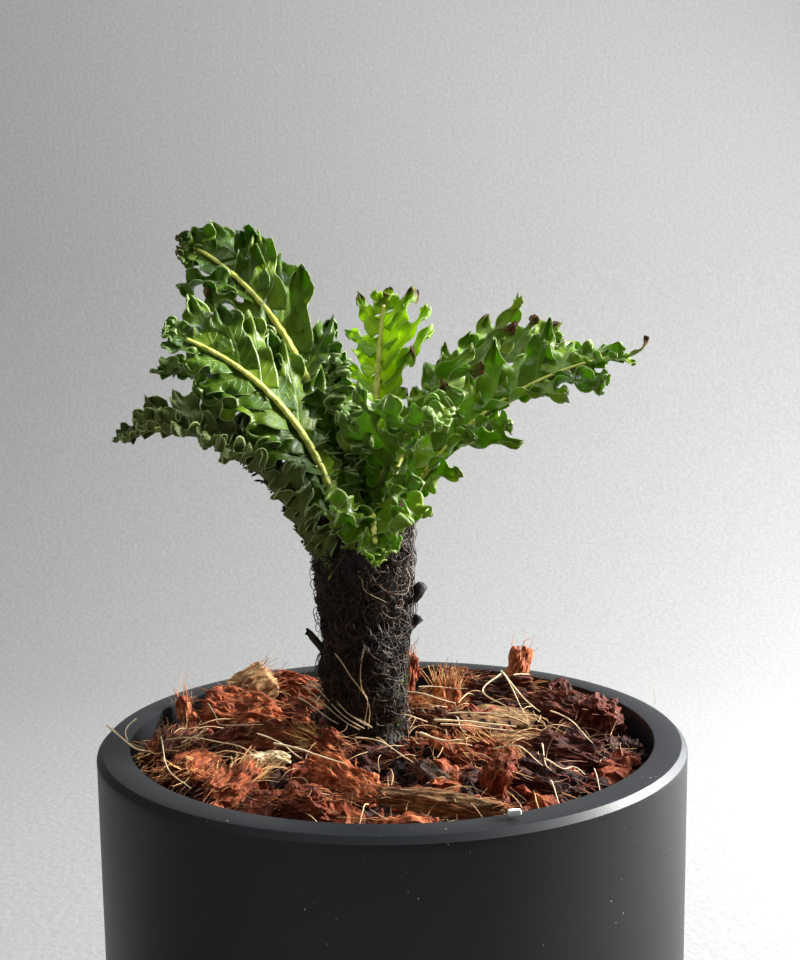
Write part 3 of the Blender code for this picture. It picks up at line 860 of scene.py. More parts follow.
def make_frond(name, leaf_finish, rib_finish):
    spec, habit = FRONDS[name], HABITS[name]
    pitch, breadth, left, right, lift_left, lift_right, lean, ruffle, young, seed = habit
    rng = np.random.default_rng(seed)
    line = frond_line(spec)
    place, way, side, up = line
    steps = len(place) - 1
    length = spec[4]
    bare = LOW_START.get(name, max(spec[10] - 0.06, 0.1))
    count = int((1 - bare) * length / pitch)
    lobes = []
    for order in range(count + 1):
        for hand, reach, lift in ((-1, left, lift_left), (1, right, lift_right)):
            late = 0.25 if hand > 0 else 0.0
            share = min(bare + (1 - bare) * (order + late) / (count + 0.6), 0.985)
            index = int(share * steps)
            size = BLADE_HALF_WIDTH * spec[7] * float(blade_width(share, bare - 0.04))
            size *= 1.25 * reach * rng.uniform(0.80, 1.16)
            size *= 1 - TIP_TAPER.get(name, 0.2) * float(smoothstep(0.66, 1.0, share))
            angle = math.radians(lean + rng.uniform(-11, 11) + 34 * max(0, share - 0.8) / 0.2)
            raise_by = math.radians(lift + rng.uniform(-14, 14))
            outward = side[index] * hand
            out = outward * math.cos(angle) + way[index] * math.sin(angle)
            out = out * math.cos(raise_by) + up[index] * math.sin(raise_by)
            normal = up[index] * math.cos(raise_by) - outward * math.sin(raise_by)
            tilt = math.radians(rng.uniform(6, 20))
            normal = normal + way[index] * math.tan(tilt)
            style = {
                "curl": math.radians(rng.uniform(-60, 55 if lift > 10 else 5)),
                "sweep": math.radians(rng.uniform(5, 28)),
                "ruffle": ruffle * MM * rng.uniform(0.8, 1.2) * min(1, size / (13 * MM)),
                "waves": rng.uniform(1.7, 2.5),
                "phase": rng.uniform(0, math.tau, 2),
                "cup": rng.uniform(-0.05, 0.30),
                "calm": CALM.get(name, (0.0, 0.36)),
                "point": POINTED.get(name, 0.12) * rng.uniform(0.7, 1.3),
                "waist": WAIST.get(name, 0.26) * rng.uniform(0.7, 1.3),
                "tone": np.clip(rng.normal(0.5 + 0.3 * young, 0.2), 0, 1),
                "scorch": float(rng.random() < BURNT.get(name, 0.012) * (1 + share)),
                "burn_from": rng.uniform(0.72, 0.9),
            }
            wide = breadth * MM * rng.uniform(0.9, 1.15)
            wide *= 0.55 + 0.45 * min(1, size / (14 * MM))
            start = place[index] + outward * 0.3 * MM
            lobes.append(lobe(start, out, normal, hand, size, wide, style))
    reach, breadth_end, curl, burn = TIPS.get(name, (6.0, 5.5, 35, 0.0))
    style = dict(style, curl=math.radians(curl), sweep=0.0, scorch=burn, burn_from=0.15)
    style["ruffle"] = 0.8 * MM
    lobes.append(lobe(place[-6], way[-1], up[-1], 1, reach * MM, breadth_end * MM, style))
    total = len(lobes) * LOBE_POINTS
    faces = np.vstack([SHELL + first for first in range(0, total, LOBE_POINTS)]).tolist()
    lobe_faces = len(faces)
    ribs, quads, caps, made = rib(spec, line, RIB_THICKNESS, pitch)
    faces += (quads + total).tolist() + [[v + total for v in cap] for cap in caps]
    verts = np.vstack([points for points, _ in lobes] + [ribs])
    values = [one for _, one in lobes] + [made]
    merged = {key: np.concatenate([v[key] for v in values]) for key in values[0]}
    piece = name.replace("frond_", "leaf_")
    obj = mesh_object(piece, verts, faces, [leaf_finish, rib_finish], merged)
    slots = np.zeros(len(obj.data.polygons), np.int32)
    slots[lobe_faces:] = 1
    obj.data.polygons.foreach_set("material_index", slots)
    return attach(obj, "leaf", name)


# Each leaf finish: deep, middle and bright green, share of light let
# through, its colour, then sheen and how pale the underside is.
LEAF_FINISHES = {
    "leaf_deep_green": (
        (0.010, 0.030, 0.002), (0.075, 0.160, 0.004), (0.270, 0.400, 0.012),
        0.22, (0.20, 0.50, 0.02),
    ),
    "leaf_fresh_green": (
        (0.022, 0.056, 0.002), (0.140, 0.255, 0.005), (0.38, 0.53, 0.018),
        0.30, (0.30, 0.60, 0.03),
    ),
    # Young fronds' yellow-green, its colours also raised brighter as painted backlight.
    "leaf_young_backlit_green": (
        (0.10, 0.19, 0.008), (0.22, 0.38, 0.014), (0.40, 0.56, 0.03),
        0.50, (0.62, 0.86, 0.04),
    ),
    "leaf_shaded_olive": (
        (0.030, 0.048, 0.007), (0.095, 0.135, 0.018), (0.200, 0.260, 0.048),
        0.16, (0.18, 0.36, 0.03), 0.38, 0.75,
    ),
}
GREENS = {
    "frond_low_left": "leaf_shaded_olive",
    "frond_back_centre": "leaf_young_backlit_green",
    "frond_upper_right": "leaf_fresh_green",
    "frond_long_right": "leaf_fresh_green",
    "frond_front_right": "leaf_fresh_green",
    "frond_front_centre": "leaf_fresh_green",
}


def make_fronds():
    leaves = {name: leaf_material(name, *row) for name, row in LEAF_FINISHES.items()}
    rib_finish = rib_material()
    for name in FRONDS:
        make_frond(name, leaves[GREENS.get(name, "leaf_deep_green")], rib_finish)


# ------------------------------------------------------------------- trunk


def trunk_relief(points):
    """How far the matted surface stands off a true cone, in metres."""
    broad = roughness_at(points / (7 * MM), 5) * 1.7 * MM
    return broad + roughness_at(points / (2.4 * MM), 3) * 0.7 * MM


def make_trunk():
    core_finish = plain_noise_material(
        "root_mat_core", (0.003, 0.002, 0.0015), (0.014, 0.009, 0.006), 900, 0.6
    )
    bm = cut_finer("trunk", 3)
    bm.normal_update()
    points = np.array([v.co for v in bm.verts])
    push = trunk_relief(points) - 0.1 * MM
    push += roughness_at(points / (0.9 * MM), 4) * 0.25 * MM
    for vertex, amount in zip(bm.verts, push):
        vertex.co += vertex.normal * amount
    core = to_piece("trunk_core", bm, core_finish)
    faces = core.data.polygons
    faces.foreach_set("use_smooth", np.ones(len(faces), bool))
    attach(core, "root_mat", "trunk")


def trunk_point(angle, height, out):
    radius = trunk_radius(height) + out
    return np.stack(
        [
            TRUNK_X + radius * np.cos(angle),
            TRUNK_Y + radius * np.sin(angle),
            RIM_Z + height,
        ],
        -1,
    )


def root_paths(rng, count, low, high, reach, points=16):
    """Wiry roots that wander and loop over the trunk's side, paler towards its right front as
    painted light.
    """
    paths, thicks, tints = [], [], []
    for _ in range(count):
        angle = rng.uniform(0, math.tau)
        loop = 0.5 + 0.5 * max(0.0, math.cos(angle + 0.35))
        height = rng.uniform(low, high)
        heading = rng.normal(-math.pi / 2, 0.25 + 0.9 * loop)
        bend = rng.normal(0, 1.0) * loop * 0.36 / MM
        length = rng.uniform(*reach) * MM
        step = length / (points - 1)
        out = rng.uniform(-0.2, 0.7) * MM
        lift = rng.uniform(0.0, 2.3) * MM * loop
        angles, heights = [], []
        for _ in range(points):
            angles.append(angle)
            heights.append(height)
            radius = float(trunk_radius(height)) + out
            angle += math.cos(heading) * step / radius
            height += math.sin(heading) * step
            heading += bend * step + rng.normal(0, 0.16)
        share = np.linspace(0, 1, points)
        rise = out + lift * np.sin(share * math.pi) + 0.25 * MM * np.sin(share * 9)
        heights = np.clip(heights, -8 * MM, TRUNK_HEIGHT + 1 * MM)
        angles = np.array(angles)
        swell = trunk_relief(trunk_point(angles, heights, 0 * rise))
        paths.append(trunk_point(angles, heights, rise + swell))
        size = rng.uniform(0.09, 0.22) * MM
        thicks.append(size * (1 - 0.5 * share))
        # Roots towards the right front, where the key lamp falls, get paler tints: painted
        # light.
        tints.append(rng.random() ** 3.0 * (0.35 + 0.65 * loop))
    return paths, thicks, tints


def make_roots():
    finish = strand_material(
        "wiry_root", (0.002, 0.0015, 0.001), (0.17, 0.105, 0.065), 0.35, 0.35
    )
    rng = np.random.default_rng(61)
    for name, count, low, high in (
        ("trunk_roots_low", LOW_ROOTS, -5 * MM, 30 * MM),
        ("trunk_roots_high", HIGH_ROOTS, 26 * MM, 58 * MM),
    ):
        made = root_paths(rng, count, low, high, (7, 20))
        attach(strands(name, *made, 3, finish), "root_mat")


def make_root_hairs():
    """Short hooked rootlets that stand off the trunk all round."""
    finish = strand_material(
        "rootlet", (0.003, 0.002, 0.0015), (0.15, 0.09, 0.055), 0.35, 0.4
    )
    rng = np.random.default_rng(67)
    share = np.linspace(0, 1, 9)
    paths, thicks, tints = [], [], []
    for _ in range(ROOTLETS):
        turn = rng.uniform(0, math.tau)
        height = rng.uniform(-2, 57) * MM
        reach = rng.uniform(0.8, 3.0) * MM
        hook = rng.uniform(1.2, 3.2)
        drift = rng.normal(0, 0.10)
        rise = height + rng.normal(0, 1.6) * MM * share + reach * 0.5 * np.sin(share * hook * 2)
        out = reach * np.sin(share * hook)
        heading = turn + drift * share * 1.5
        swell = trunk_relief(trunk_point(heading, rise, 0 * share))
        paths.append(trunk_point(heading, rise, out + swell - 0.2 * MM))
        thicks.append(rng.uniform(0.10, 0.20) * MM * (1 - 0.6 * share))
        tints.append(rng.random() ** 2)
    attach(strands("trunk_rootlets", paths, thicks, tints, 3, finish), "root_mat")


# Old frond stubs: heading in degrees, height, length and radius in mm.
STUBS = ((187, 18, 9.0, 1.05), (2, 23, 4.0, 0.9), (-4, 31, 4.5, 0.8), (120, 26, 6.0, 0.9))


def make_stubs():
    finish = strand_material(
        "stub_bark", (0.004, 0.003, 0.002), (0.060, 0.040, 0.028), 0.4, 0.35
    )
    paths, thicks, tints = [], [], []
    for heading, height, length, radius in STUBS:
        share = np.linspace(0, 1, 14)
        out = -2 * MM + (length + 2) * MM * share * 0.62
        rise = height * MM + (length + 2) * MM * share * 0.70 - 1.5 * MM
        rise = rise + 1.6 * MM * share**2
        turn = math.radians(heading) + 0 * share
        paths.append(trunk_point(turn, rise, out))
        ending = np.sqrt(np.clip(1 - np.maximum(share - 0.7, 0) ** 2 / 0.1, 0.06, 1))
        thicks.append(radius * MM * (1.15 - 0.35 * share) * ending)
        tints.append(0.4)
    attach(strands("trunk_stubs", paths, thicks, tints, 9, finish), "root_mat")


def make_moss():
    """Small cushions of moss low on the trunk's right side."""
    finish = plain_noise_material(
        "moss_green", (0.06, 0.10, 0.015), (0.22, 0.30, 0.07), 1500, 0.7
    )
    rng = np.random.default_rng(8)
    bm = bmesh.new()
    for _ in range(MOSS_CUSHIONS):
        angle = math.radians(rng.normal(-32, 16))
        height = rng.choice([6.0, 11.0, 2.0], p=[0.45, 0.35, 0.2]) + rng.normal(0, 2.4)
        centre = trunk_point(angle, height * MM, rng.uniform(0.3, 1.0) * MM)
        size = rng.uniform(0.18, 0.5) * MM
        made = bmesh.ops.create_icosphere(bm, subdivisions=1, radius=size)["verts"]
        for vertex in made:
            wobble = 1 + 0.35 * rng.uniform(-1, 1)
            vertex.co = Vector(centre) + vertex.co * wobble
    attach(to_piece("trunk_moss", bm, finish), "root_mat")


# Half widths of a scale from its foot to its tip, in mm.
SCALE_PROFILE = np.array([0.16, 0.26, 0.3, 0.24, 0.14, 0.04])


def make_scales():
    """Narrow black scales along the lower stalks and the crown."""
    finish = strand_material(
        "black_scale", (0.004, 0.003, 0.002), (0.05, 0.03, 0.02), 0.3, 0.5
    )
    rng = np.random.default_rng(77)
    paths, thicks, tints = [], [], []
    for name, first, last, count in (
        ("frond_low_left", 0.05, 0.75, 90),
        ("frond_mid_left", 0.05, 0.42, 60),
        ("frond_rear_left", 0.05, 0.35, 30),
        ("frond_front_right", 0.02, 0.3, 25),
        ("frond_front_centre", 0.02, 0.3, 25),
        ("frond_long_right", 0.02, 0.35, 30),
        ("frond_upper_right", 0.02, 0.3, 20),
        ("frond_inner_front", 0.02, 0.3, 20),
    ):
        place, way, side, up = frond_line(FRONDS[name])
        for _ in range(count):
            index = int(rng.uniform(first, last) * (len(place) - 1))
            around = (-math.pi, 0.15) if name == "frond_low_left" else (0, math.tau)
            angle = rng.uniform(*around)
            out = side[index] * math.cos(angle) + up[index] * math.sin(angle)
            start = place[index] + out * 0.85 * MM
            lean = out * rng.uniform(0.5, 1.3) + way[index] * rng.uniform(-0.4, 1.2)
            tip = start + lean * rng.uniform(0.8, 1.9) * MM
            mid = (start + tip) / 2 + rng.normal(0, 0.25, 3) * MM
            paths.append(smooth_path([start, mid, tip], len(SCALE_PROFILE)))
            thicks.append(SCALE_PROFILE * MM * rng.uniform(0.6, 1.2))
            tints.append(rng.random() * 0.8)
    attach(strands("stalk_scales", paths, thicks, tints, 4, finish), "root_mat")


# --------------------------------------------------------------- husk bed


def chip_axes(points):
    centre = points.mean(0)
    spread = np.cov((points - centre).T)
    _, axes = np.linalg.eigh(spread)
    return centre, axes[:, ::-1]


# Stretch along, across and through the chips that are slimmer than most.
SLIM = {
    "husk_spike_back": (1.30, 0.80, 0.85),
    "husk_stick_front": (1.0, 0.72, 0.8),
    "bark_strip_pale": (1.0, 0.62, 0.55),
    "bark_plate_dark": (1.0, 0.85, 0.6),
}
# How far some chips sit down into the bed, in mm.
SETTLE = {"husk_spike_back": 3.0, "husk_brush_behind": 1.5, "husk_brush_back": 1.5}
# Chips with clean ends, no loose hairs.
SHORN = ("husk_spike_back", "husk_lump_right", "husk_nub_right", "bark_plate_dark")


def fibrous_chip(name, finish, order, cuts):
    """The chip's solid, worn round, grooved along its grain, frayed at its ends."""
    bm = cut_finer(name, cuts)
    points = np.array([v.co for v in bm.verts])
    centre, axes = chip_axes(points)
    local = (points - centre) @ axes
    reach = np.abs(local).max(0)
    seed = 100 + order
    share = local / reach
    woody = CHIP_FINISH.get(name) in ("brown", "grey")
    loose = 0.3 if woody else 1.0
    worn = 1 - 0.10 * loose * (share**2).sum(1)
    local = local * worn[:, None] * 1.12
    warp = [roughness_at(local / (6.5 * MM), seed + 11 + k) for k in range(3)]
    local = local + np.stack(warp, -1) * reach * np.array([0.18, 0.34, 0.40]) * loose
    local = local * np.array(SLIM.get(name, (1.0, 1.0, 1.0)))
    centre = centre - np.array([0, 0, SETTLE.get(name, 0.0) * MM])
    points = centre + local @ axes.T
    for vertex, point in zip(bm.verts, points):
        vertex.co = point
    soften(bm, 0.4)
    bm.normal_update()
    normals = np.array([v.normal for v in bm.verts])
    points, faces = spent(bm)
    local = (points - centre) @ axes
    twist = np.stack([roughness_at(local / (4 * MM), seed + 21 + k) for k in range(3)], -1)
    string = (local + twist * 1.1 * MM) / np.array([3.6, 1.0, 1.0]) / MM
    groove = roughness_at(string / 1.5, seed)
    fine = roughness_at(string / 0.55, seed + 1)
    lump = roughness_at(local / (3.6 * MM), seed + 2)
    push = (1.1 * groove + 0.75 * fine + 0.9 * loose * lump) * (0.1 + 0.9 * loose) * MM
    points = points + normals * push[:, None]
    end = smoothstep(0.72, 1.0, np.abs(local[:, 0]) / reach[0])
    fray = roughness_at(local * np.array([0.2, 1.0, 1.0]) / (0.8 * MM), seed + 3)
    points = points + axes[:, 0] * (np.sign(local[:, 0]) * end * fray * 1.8 * MM)[:, None]
    rng = np.random.default_rng(seed)
    values = {"grain": local, "tint": np.full(len(points), rng.random())}
    obj = mesh_object(name + "_chip", points, faces, finish, values, False)
    return obj, points, normals, axes, reach


def grain_fibres(points, normals, axes, reach, rng, count, length):
    """Fibres that follow a chip's grain over its skin and run off its ends."""
    centre = points.mean(0)
    local = (points - centre) @ axes
    steps = 8
    starts = rng.integers(len(points), size=count)
    x0 = local[starts, 0]
    toward = np.where(rng.random(count) < 0.5 + 0.5 * x0 / reach[0], 1.0, -1.0)
    run = rng.uniform(*length, count) * MM
    share = np.linspace(0, 1, steps)
    drift = rng.normal(0, 0.22, (count, 2))
    x = x0[:, None] + (toward * run)[:, None] * share
    yz = local[starts][:, None, 1:] + (drift * run[:, None])[:, None, :] * share[None, :, None]
    want = np.concatenate([x[..., None], yz], -1)
    held = np.clip(want[..., 0], -0.92 * reach[0], 0.92 * reach[0])
    inside = want.copy()
    inside[..., 0] = held
    flat = inside.reshape(-1, 3)
    gap = ((flat[:, None, :] - local[None, ::2, :]) ** 2).sum(-1)
    near = gap.argmin(1) * 2
    skin = points[near].reshape(count, steps, 3)
    out = normals[near].reshape(count, steps, 3)
    proud = rng.uniform(0.0, 0.35, count)[:, None] + 0.55 * rng.random(count)[:, None] * share**2
    path = skin + out * proud[..., None] * MM
    path = path + (want[..., 0] - held)[..., None] * axes[:, 0]
    path[:, 1:-1] = (path[:, :-2] + path[:, 1:-1] + path[:, 2:]) / 3
    curl = rng.normal(0, 0.10, (count, 3))
    path = path + curl[:, None, :] * (run[:, None] * share**2)[..., None]
    size = rng.uniform(0.07, 0.19, count) * MM
    thick = size[:, None] * (1 - 0.6 * share)
    keep = [i for i in range(count) if path[i, 0, 2] > centre[2] - 0.3 * reach[2]]
    return [path[i] for i in keep], [thick[i] for i in keep], list(rng.random(len(keep)))


def bowed(start, way, bend, length, share):
    """A path that leaves start along way and bends more and more."""
    return start + way * length * share + bend * length * share**2


def fray_paths(points, normals, axes, rng, count):
    """Fine fibres that stand out of a chip, mostly along its grain."""
    paths, thicks, tints = [], [], []
    centre = points.mean(0)
    for _ in range(count):
        index = rng.integers(len(points))
        start, out = points[index], normals[index]
        if start[2] < centre[2] - 0.5 * MM:
            continue
        along = axes[:, 0] * (1 if (start - centre) @ axes[:, 0] > 0 else -1)
        way = along * rng.uniform(0.5, 1.2) + out * rng.uniform(0.1, 0.8)
        way = unit(way + rng.normal(0, 0.3, 3))
        length = rng.uniform(1.5, 5.5) * MM
        bend = rng.normal(0, 0.35, 3)
        share = np.linspace(0, 1, 8)[:, None]
        paths.append(bowed(start - out * 0.3 * MM, way, bend, length, share))
        thicks.append(rng.uniform(0.05, 0.13) * MM * (1 - 0.65 * share[:, 0]))
        tints.append(rng.random())
    return paths, thicks, tints


def brush_paths(points, axes, rng, count):
    """Golden fibres that splay out of a tuft's upper end."""
    centre = points.mean(0)
    lead = axes[:, 0] * (1.0 if axes[2, 0] >= 0 else -1.0)
    reach = (points - centre) @ lead
    ends = np.nonzero(reach > np.percentile(reach, 62))[0]
    paths, thicks, tints = [], [], []
    share = np.linspace(0, 1, 9)[:, None]
    for index in rng.choice(ends, count):
        off = points[index] - centre
        off = off - lead * (off @ lead)
        way = unit(lead + off / (9 * MM) + rng.normal(0, 0.16, 3))
        length = rng.uniform(3.0, 8.5) * MM
        bend = rng.normal(0, 0.16, 3)
        paths.append(bowed(points[index] - way * 1.5 * MM, way, bend, length, share))
        thicks.append(rng.uniform(0.10, 0.24) * MM * (1 - 0.6 * share[:, 0]))
        tints.append(rng.random())
    return paths, thicks, tints


# Each husk finish: its name, then dark, middle, light and straw colour.
HUSK_COLOURS = {
    "red": (
        "husk_red",
        (0.014, 0.003, 0.0015), (0.115, 0.018, 0.007), (0.29, 0.052, 0.017), (0.62, 0.25, 0.09),
    ),
    "dark": (
        "husk_dark_red",
        (0.010, 0.002, 0.0015), (0.055, 0.009, 0.004), (0.16, 0.026, 0.011), (0.34, 0.10, 0.04),
    ),
    "orange": (
        "husk_orange",
        (0.030, 0.006, 0.002), (0.215, 0.042, 0.012), (0.44, 0.105, 0.030), (0.78, 0.40, 0.15),
    ),
    # Near-black finish for the pieces laid in the gaps between chips: painted shade.
    "gap": (
        "husk_painted_shade_dark",
        (0.003, 0.001, 0.001), (0.014, 0.003, 0.002), (0.05, 0.009, 0.005), (0.14, 0.04, 0.018),
    ),
    "brown": (
        "bark_brown",
        (0.035, 0.014, 0.006), (0.16, 0.075, 0.028), (0.38, 0.21, 0.085), (0.66, 0.47, 0.24),
    ),
    "grey": (
        "stick_grey",
        (0.05, 0.03, 0.022), (0.16, 0.11, 0.085), (0.30, 0.24, 0.20), (0.5, 0.42, 0.34),
    ),
}
HUSKS = {key: husk_material(*row) for key, row in HUSK_COLOURS.items()}

# The husk pieces that are not red.
CHIPS_BY_FINISH = {
    "brown": """
        husk_block_pale husk_stick_front bark_strip_pale bark_plate_dark
    """,
    "orange": """
        husk_plate_large husk_plate_left husk_tuft_left husk_tuft_front husk_slab_left
        husk_strip_diagonal husk_spike_back husk_strip_orange husk_knobs_front
        husk_strip_right husk_brush_back
    """,
    "dark": """
        husk_lump_right husk_nub_right husk_bit_right husk_wedge_right husk_block_right
        husk_plate_right husk_plate_front_right husk_chip_by_trunk
    """,
    "red": """
        husk_cube_front
    """,
    "grey": """
        husk_stick_grey
    """,
}
CHIP_FINISH = {
    name: key for key, names in CHIPS_BY_FINISH.items() for name in names.split()
}


TUFTS = (
    "husk_tuft_left",
    "husk_tuft_front",
    "husk_slab_left",
    "husk_brush_back",
    "husk_brush_behind",
    "husk_curl",
    "husk_strip_right",
)


def extend(kept, made):
    """Adds paths, thicknesses and tints to the ones kept so far."""
    for old, new in zip(kept, made):
        old.extend(new)


def make_chips():
    names = [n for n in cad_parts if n.startswith(("husk_", "bark_"))]
    rng = np.random.default_rng(29)
    loose, brushes = ([], [], []), ([], [], [])
    skins = {"warm": ([], [], []), "dark": ([], [], [])}
    for order, name in enumerate(sorted(names)):
        finish = HUSKS[CHIP_FINISH.get(name, "red")]
        large = len(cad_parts[name].data.polygons) > 60
        obj, points, normals, axes, reach = fibrous_chip(name, finish, order, 7 if large else 9)
        attach(obj, "bark" if name.startswith("bark") else "husk", name)
        busy = 0.25 if name in SHORN else 1.7 if name in TUFTS else 1.0
        made = fray_paths(points, normals, axes, rng, int(FRAYS_PER_CHIP * busy))
        extend(loose, made)
        count = int(16 + 2.2 * reach[0] * reach[1] / MM**2 * busy)
        most = MOST_SHORN_FIBRES if name in SHORN else MOST_SKIN_FIBRES
        made = grain_fibres(points, normals, axes, reach, rng, min(count, most), (2.5, 8.0))
        if name in TUFTS:
            extend(brushes, brush_paths(points, axes, rng, BRUSH_FIBRES))
        shade = "dark" if CHIP_FINISH.get(name) == "dark" else "warm"
        extend(skins[shade], made)
    for piece, made, sides, *look in (
        ("husk_hairs", loose, 3, "husk_hair", (0.22, 0.06, 0.02), (0.92, 0.60, 0.28), 0.4, 0.4),
        (
            "husk_brush_ends", brushes, 4,
            "husk_brush", (0.34, 0.09, 0.02), (0.95, 0.62, 0.24), 0.45, 0.4,
        ),
        (
            "husk_skin_warm", skins["warm"], 3,
            "husk_skin_warm", (0.05, 0.008, 0.003), (0.56, 0.19, 0.06), 0.5, 0.35,
        ),
        (
            "husk_skin_dark", skins["dark"], 3,
            "husk_skin_dark", (0.03, 0.005, 0.002), (0.26, 0.06, 0.025), 0.5, 0.35,
        ),
    ):
        attach(strands(piece, *made, sides, strand_material(*look)), "husk")


def bed_height(x, y):
    """Top of the bed over the rim's plane, a little proud of the medium."""
    share = np.clip(np.hypot(x, y) / (66 * MM), 0, 1)
    rise = -8.5 * MM + 5.0 * MM * (1 - share**2)
    return rise + roughness_at(np.stack([x, y, 0 * x], -1) / (11 * MM), 5) * 1.5 * MM


def bed_sheet(name, radius):
    """A round sheet at the bed's top, which its loose pieces replace."""
    bm = bmesh.new()
    bmesh.ops.create_grid(bm, x_segments=44, y_segments=44, size=radius)
    trunk = Vector((TRUNK_X, TRUNK_Y, 0))
    for vertex in list(bm.verts):
        if vertex.co.length > radius or (vertex.co - trunk).length < TRUNK_CLEARING:
            bm.verts.remove(vertex)
    for vertex in bm.verts:
        rise = float(bed_height(np.array(vertex.co.x), np.array(vertex.co.y)))
        vertex.co.z = RIM_Z + rise
    return to_piece(name, bm)


def loose_kinds(name, count, size, cuts, seed):
    """A collection, outside the scene, of small rough pieces to lay on the bed."""
    kinds = bpy.data.collections.new(name)
    rng = np.random.default_rng(seed)
    for kind in range(count):
        bm = bmesh.new()
        bmesh.ops.create_cube(bm, size=1.0)
        bmesh.ops.subdivide_edges(bm, edges=bm.edges[:], cuts=cuts, use_grid_fill=True)
        bmesh.ops.triangulate(bm, faces=bm.faces[:])
        long, wide, thick = np.array(size) * rng.uniform(0.75, 1.25, 3) * MM
        points, faces = spent(bm)
        outer = (np.abs(points) > 0.49).sum(1, keepdims=True).clip(1)
        points = points * (1 - 0.16 * outer + 0.16) * np.array([long, wide, thick])
        drawn = points / (np.array([3, 1, 1]) * MM)
        rough = [roughness_at(drawn, seed + kind * 3 + k) for k in range(3)]
        points = points + np.stack(rough, -1) * thick * 0.55
        obj = mesh_object(f"{name}_{kind}", points, faces, [], {"grain": points}, False)
        bpy.context.scene.collection.objects.unlink(obj)
        kinds.objects.link(obj)
    return kinds


def make_bed():
    """The medium's own finish and the small stuff that fills between chips, its near-black
    pieces laid in the gaps as painted shade.
    """
    soil = plain_noise_material(
        "husk_fibre_bed", (0.006, 0.002, 0.0015), (0.05, 0.010, 0.005), 700, 0.75
    )
    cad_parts["growing_medium"].data.materials.clear()
    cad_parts["growing_medium"].data.materials.append(soil)
    chiplets = loose_kinds("chiplet", 6, (7.5, 4.2, 3.2), 3, 301)
    crumbs = loose_kinds("crumb", 6, (2.6, 1.5, 1.2), 1, 401)
    for name, kinds, density, seed, small, large, tilt, finish in (
        ("loose_chiplets_red", chiplets, 7500, 3, 0.6, 1.25, 0.7, "red"),
        # The near-black chiplets and crumbs fill the gaps between chips as painted shade.
        ("loose_chiplets_dark", chiplets, 6500, 4, 0.6, 1.15, 0.8, "gap"),
        ("loose_chiplets_orange", chiplets, 3800, 5, 0.5, 1.0, 0.8, "orange"),
        ("loose_crumbs", crumbs, 45000, 6, 0.5, 1.4, 1.5, "red"),
        ("loose_crumbs_dark", crumbs, 80000, 7, 0.5, 1.3, 1.5, "gap"),
    ):
        sheet = bed_sheet(name, BED_RADIUS)
        settings = {
            "Density": float(density),
            "Seed": seed,
            "Smallest": small,
            "Largest": large,
            "Tilt": tilt,
            "Kinds": kinds,
            "Finish": HUSKS[finish],
        }
        attach(grown(sheet, SCATTER_TREE, settings), "husk")


def make_loose_fibres():
    """Curled threads of husk lying over the bed."""
    rng = np.random.default_rng(91)
    paths, thicks, tints = [], [], []
    for _ in range(THREADS):
        radius = BED_RADIUS * math.sqrt(rng.random())
        turn = rng.uniform(0, math.tau)
        x, y = radius * math.cos(turn), radius * math.sin(turn)
        if math.hypot(x - TRUNK_X, y - TRUNK_Y) < THREAD_CLEARING:
            continue
        heading = rng.uniform(0, math.tau)
        bend = rng.normal(0, 1) / (15 * MM)
        length = rng.uniform(4, 14) * MM
        points = 12
        step = length / (points - 1)
        base = rng.uniform(0.8, 4.5) * MM
        spots = []
        for i in range(points):
            arc = math.sin(math.pi * i / (points - 1)) * rng.uniform(0.9, 1.1)
            z = RIM_Z + float(bed_height(np.array(x), np.array(y))) + base + arc * 0.12 * length
            spots.append((x, y, z))
            x += math.cos(heading) * step
            y += math.sin(heading) * step
            heading += bend * step + rng.normal(0, 0.07)
        path = np.array(spots)
        if np.hypot(path[:, 0], path[:, 1]).max() > BED_EDGE:
            continue
        paths.append(path)
        share = np.linspace(0, 1, points)
        thicks.append(rng.uniform(0.07, 0.20) * MM * (1 - 0.6 * np.abs(share - 0.4)))
        tints.append(rng.random())
    finish = strand_material("husk_thread", (0.24, 0.07, 0.02), (0.90, 0.62, 0.30), 0.4, 0.4)
    attach(strands("loose_threads", paths, thicks, tints, 3, finish), "husk")
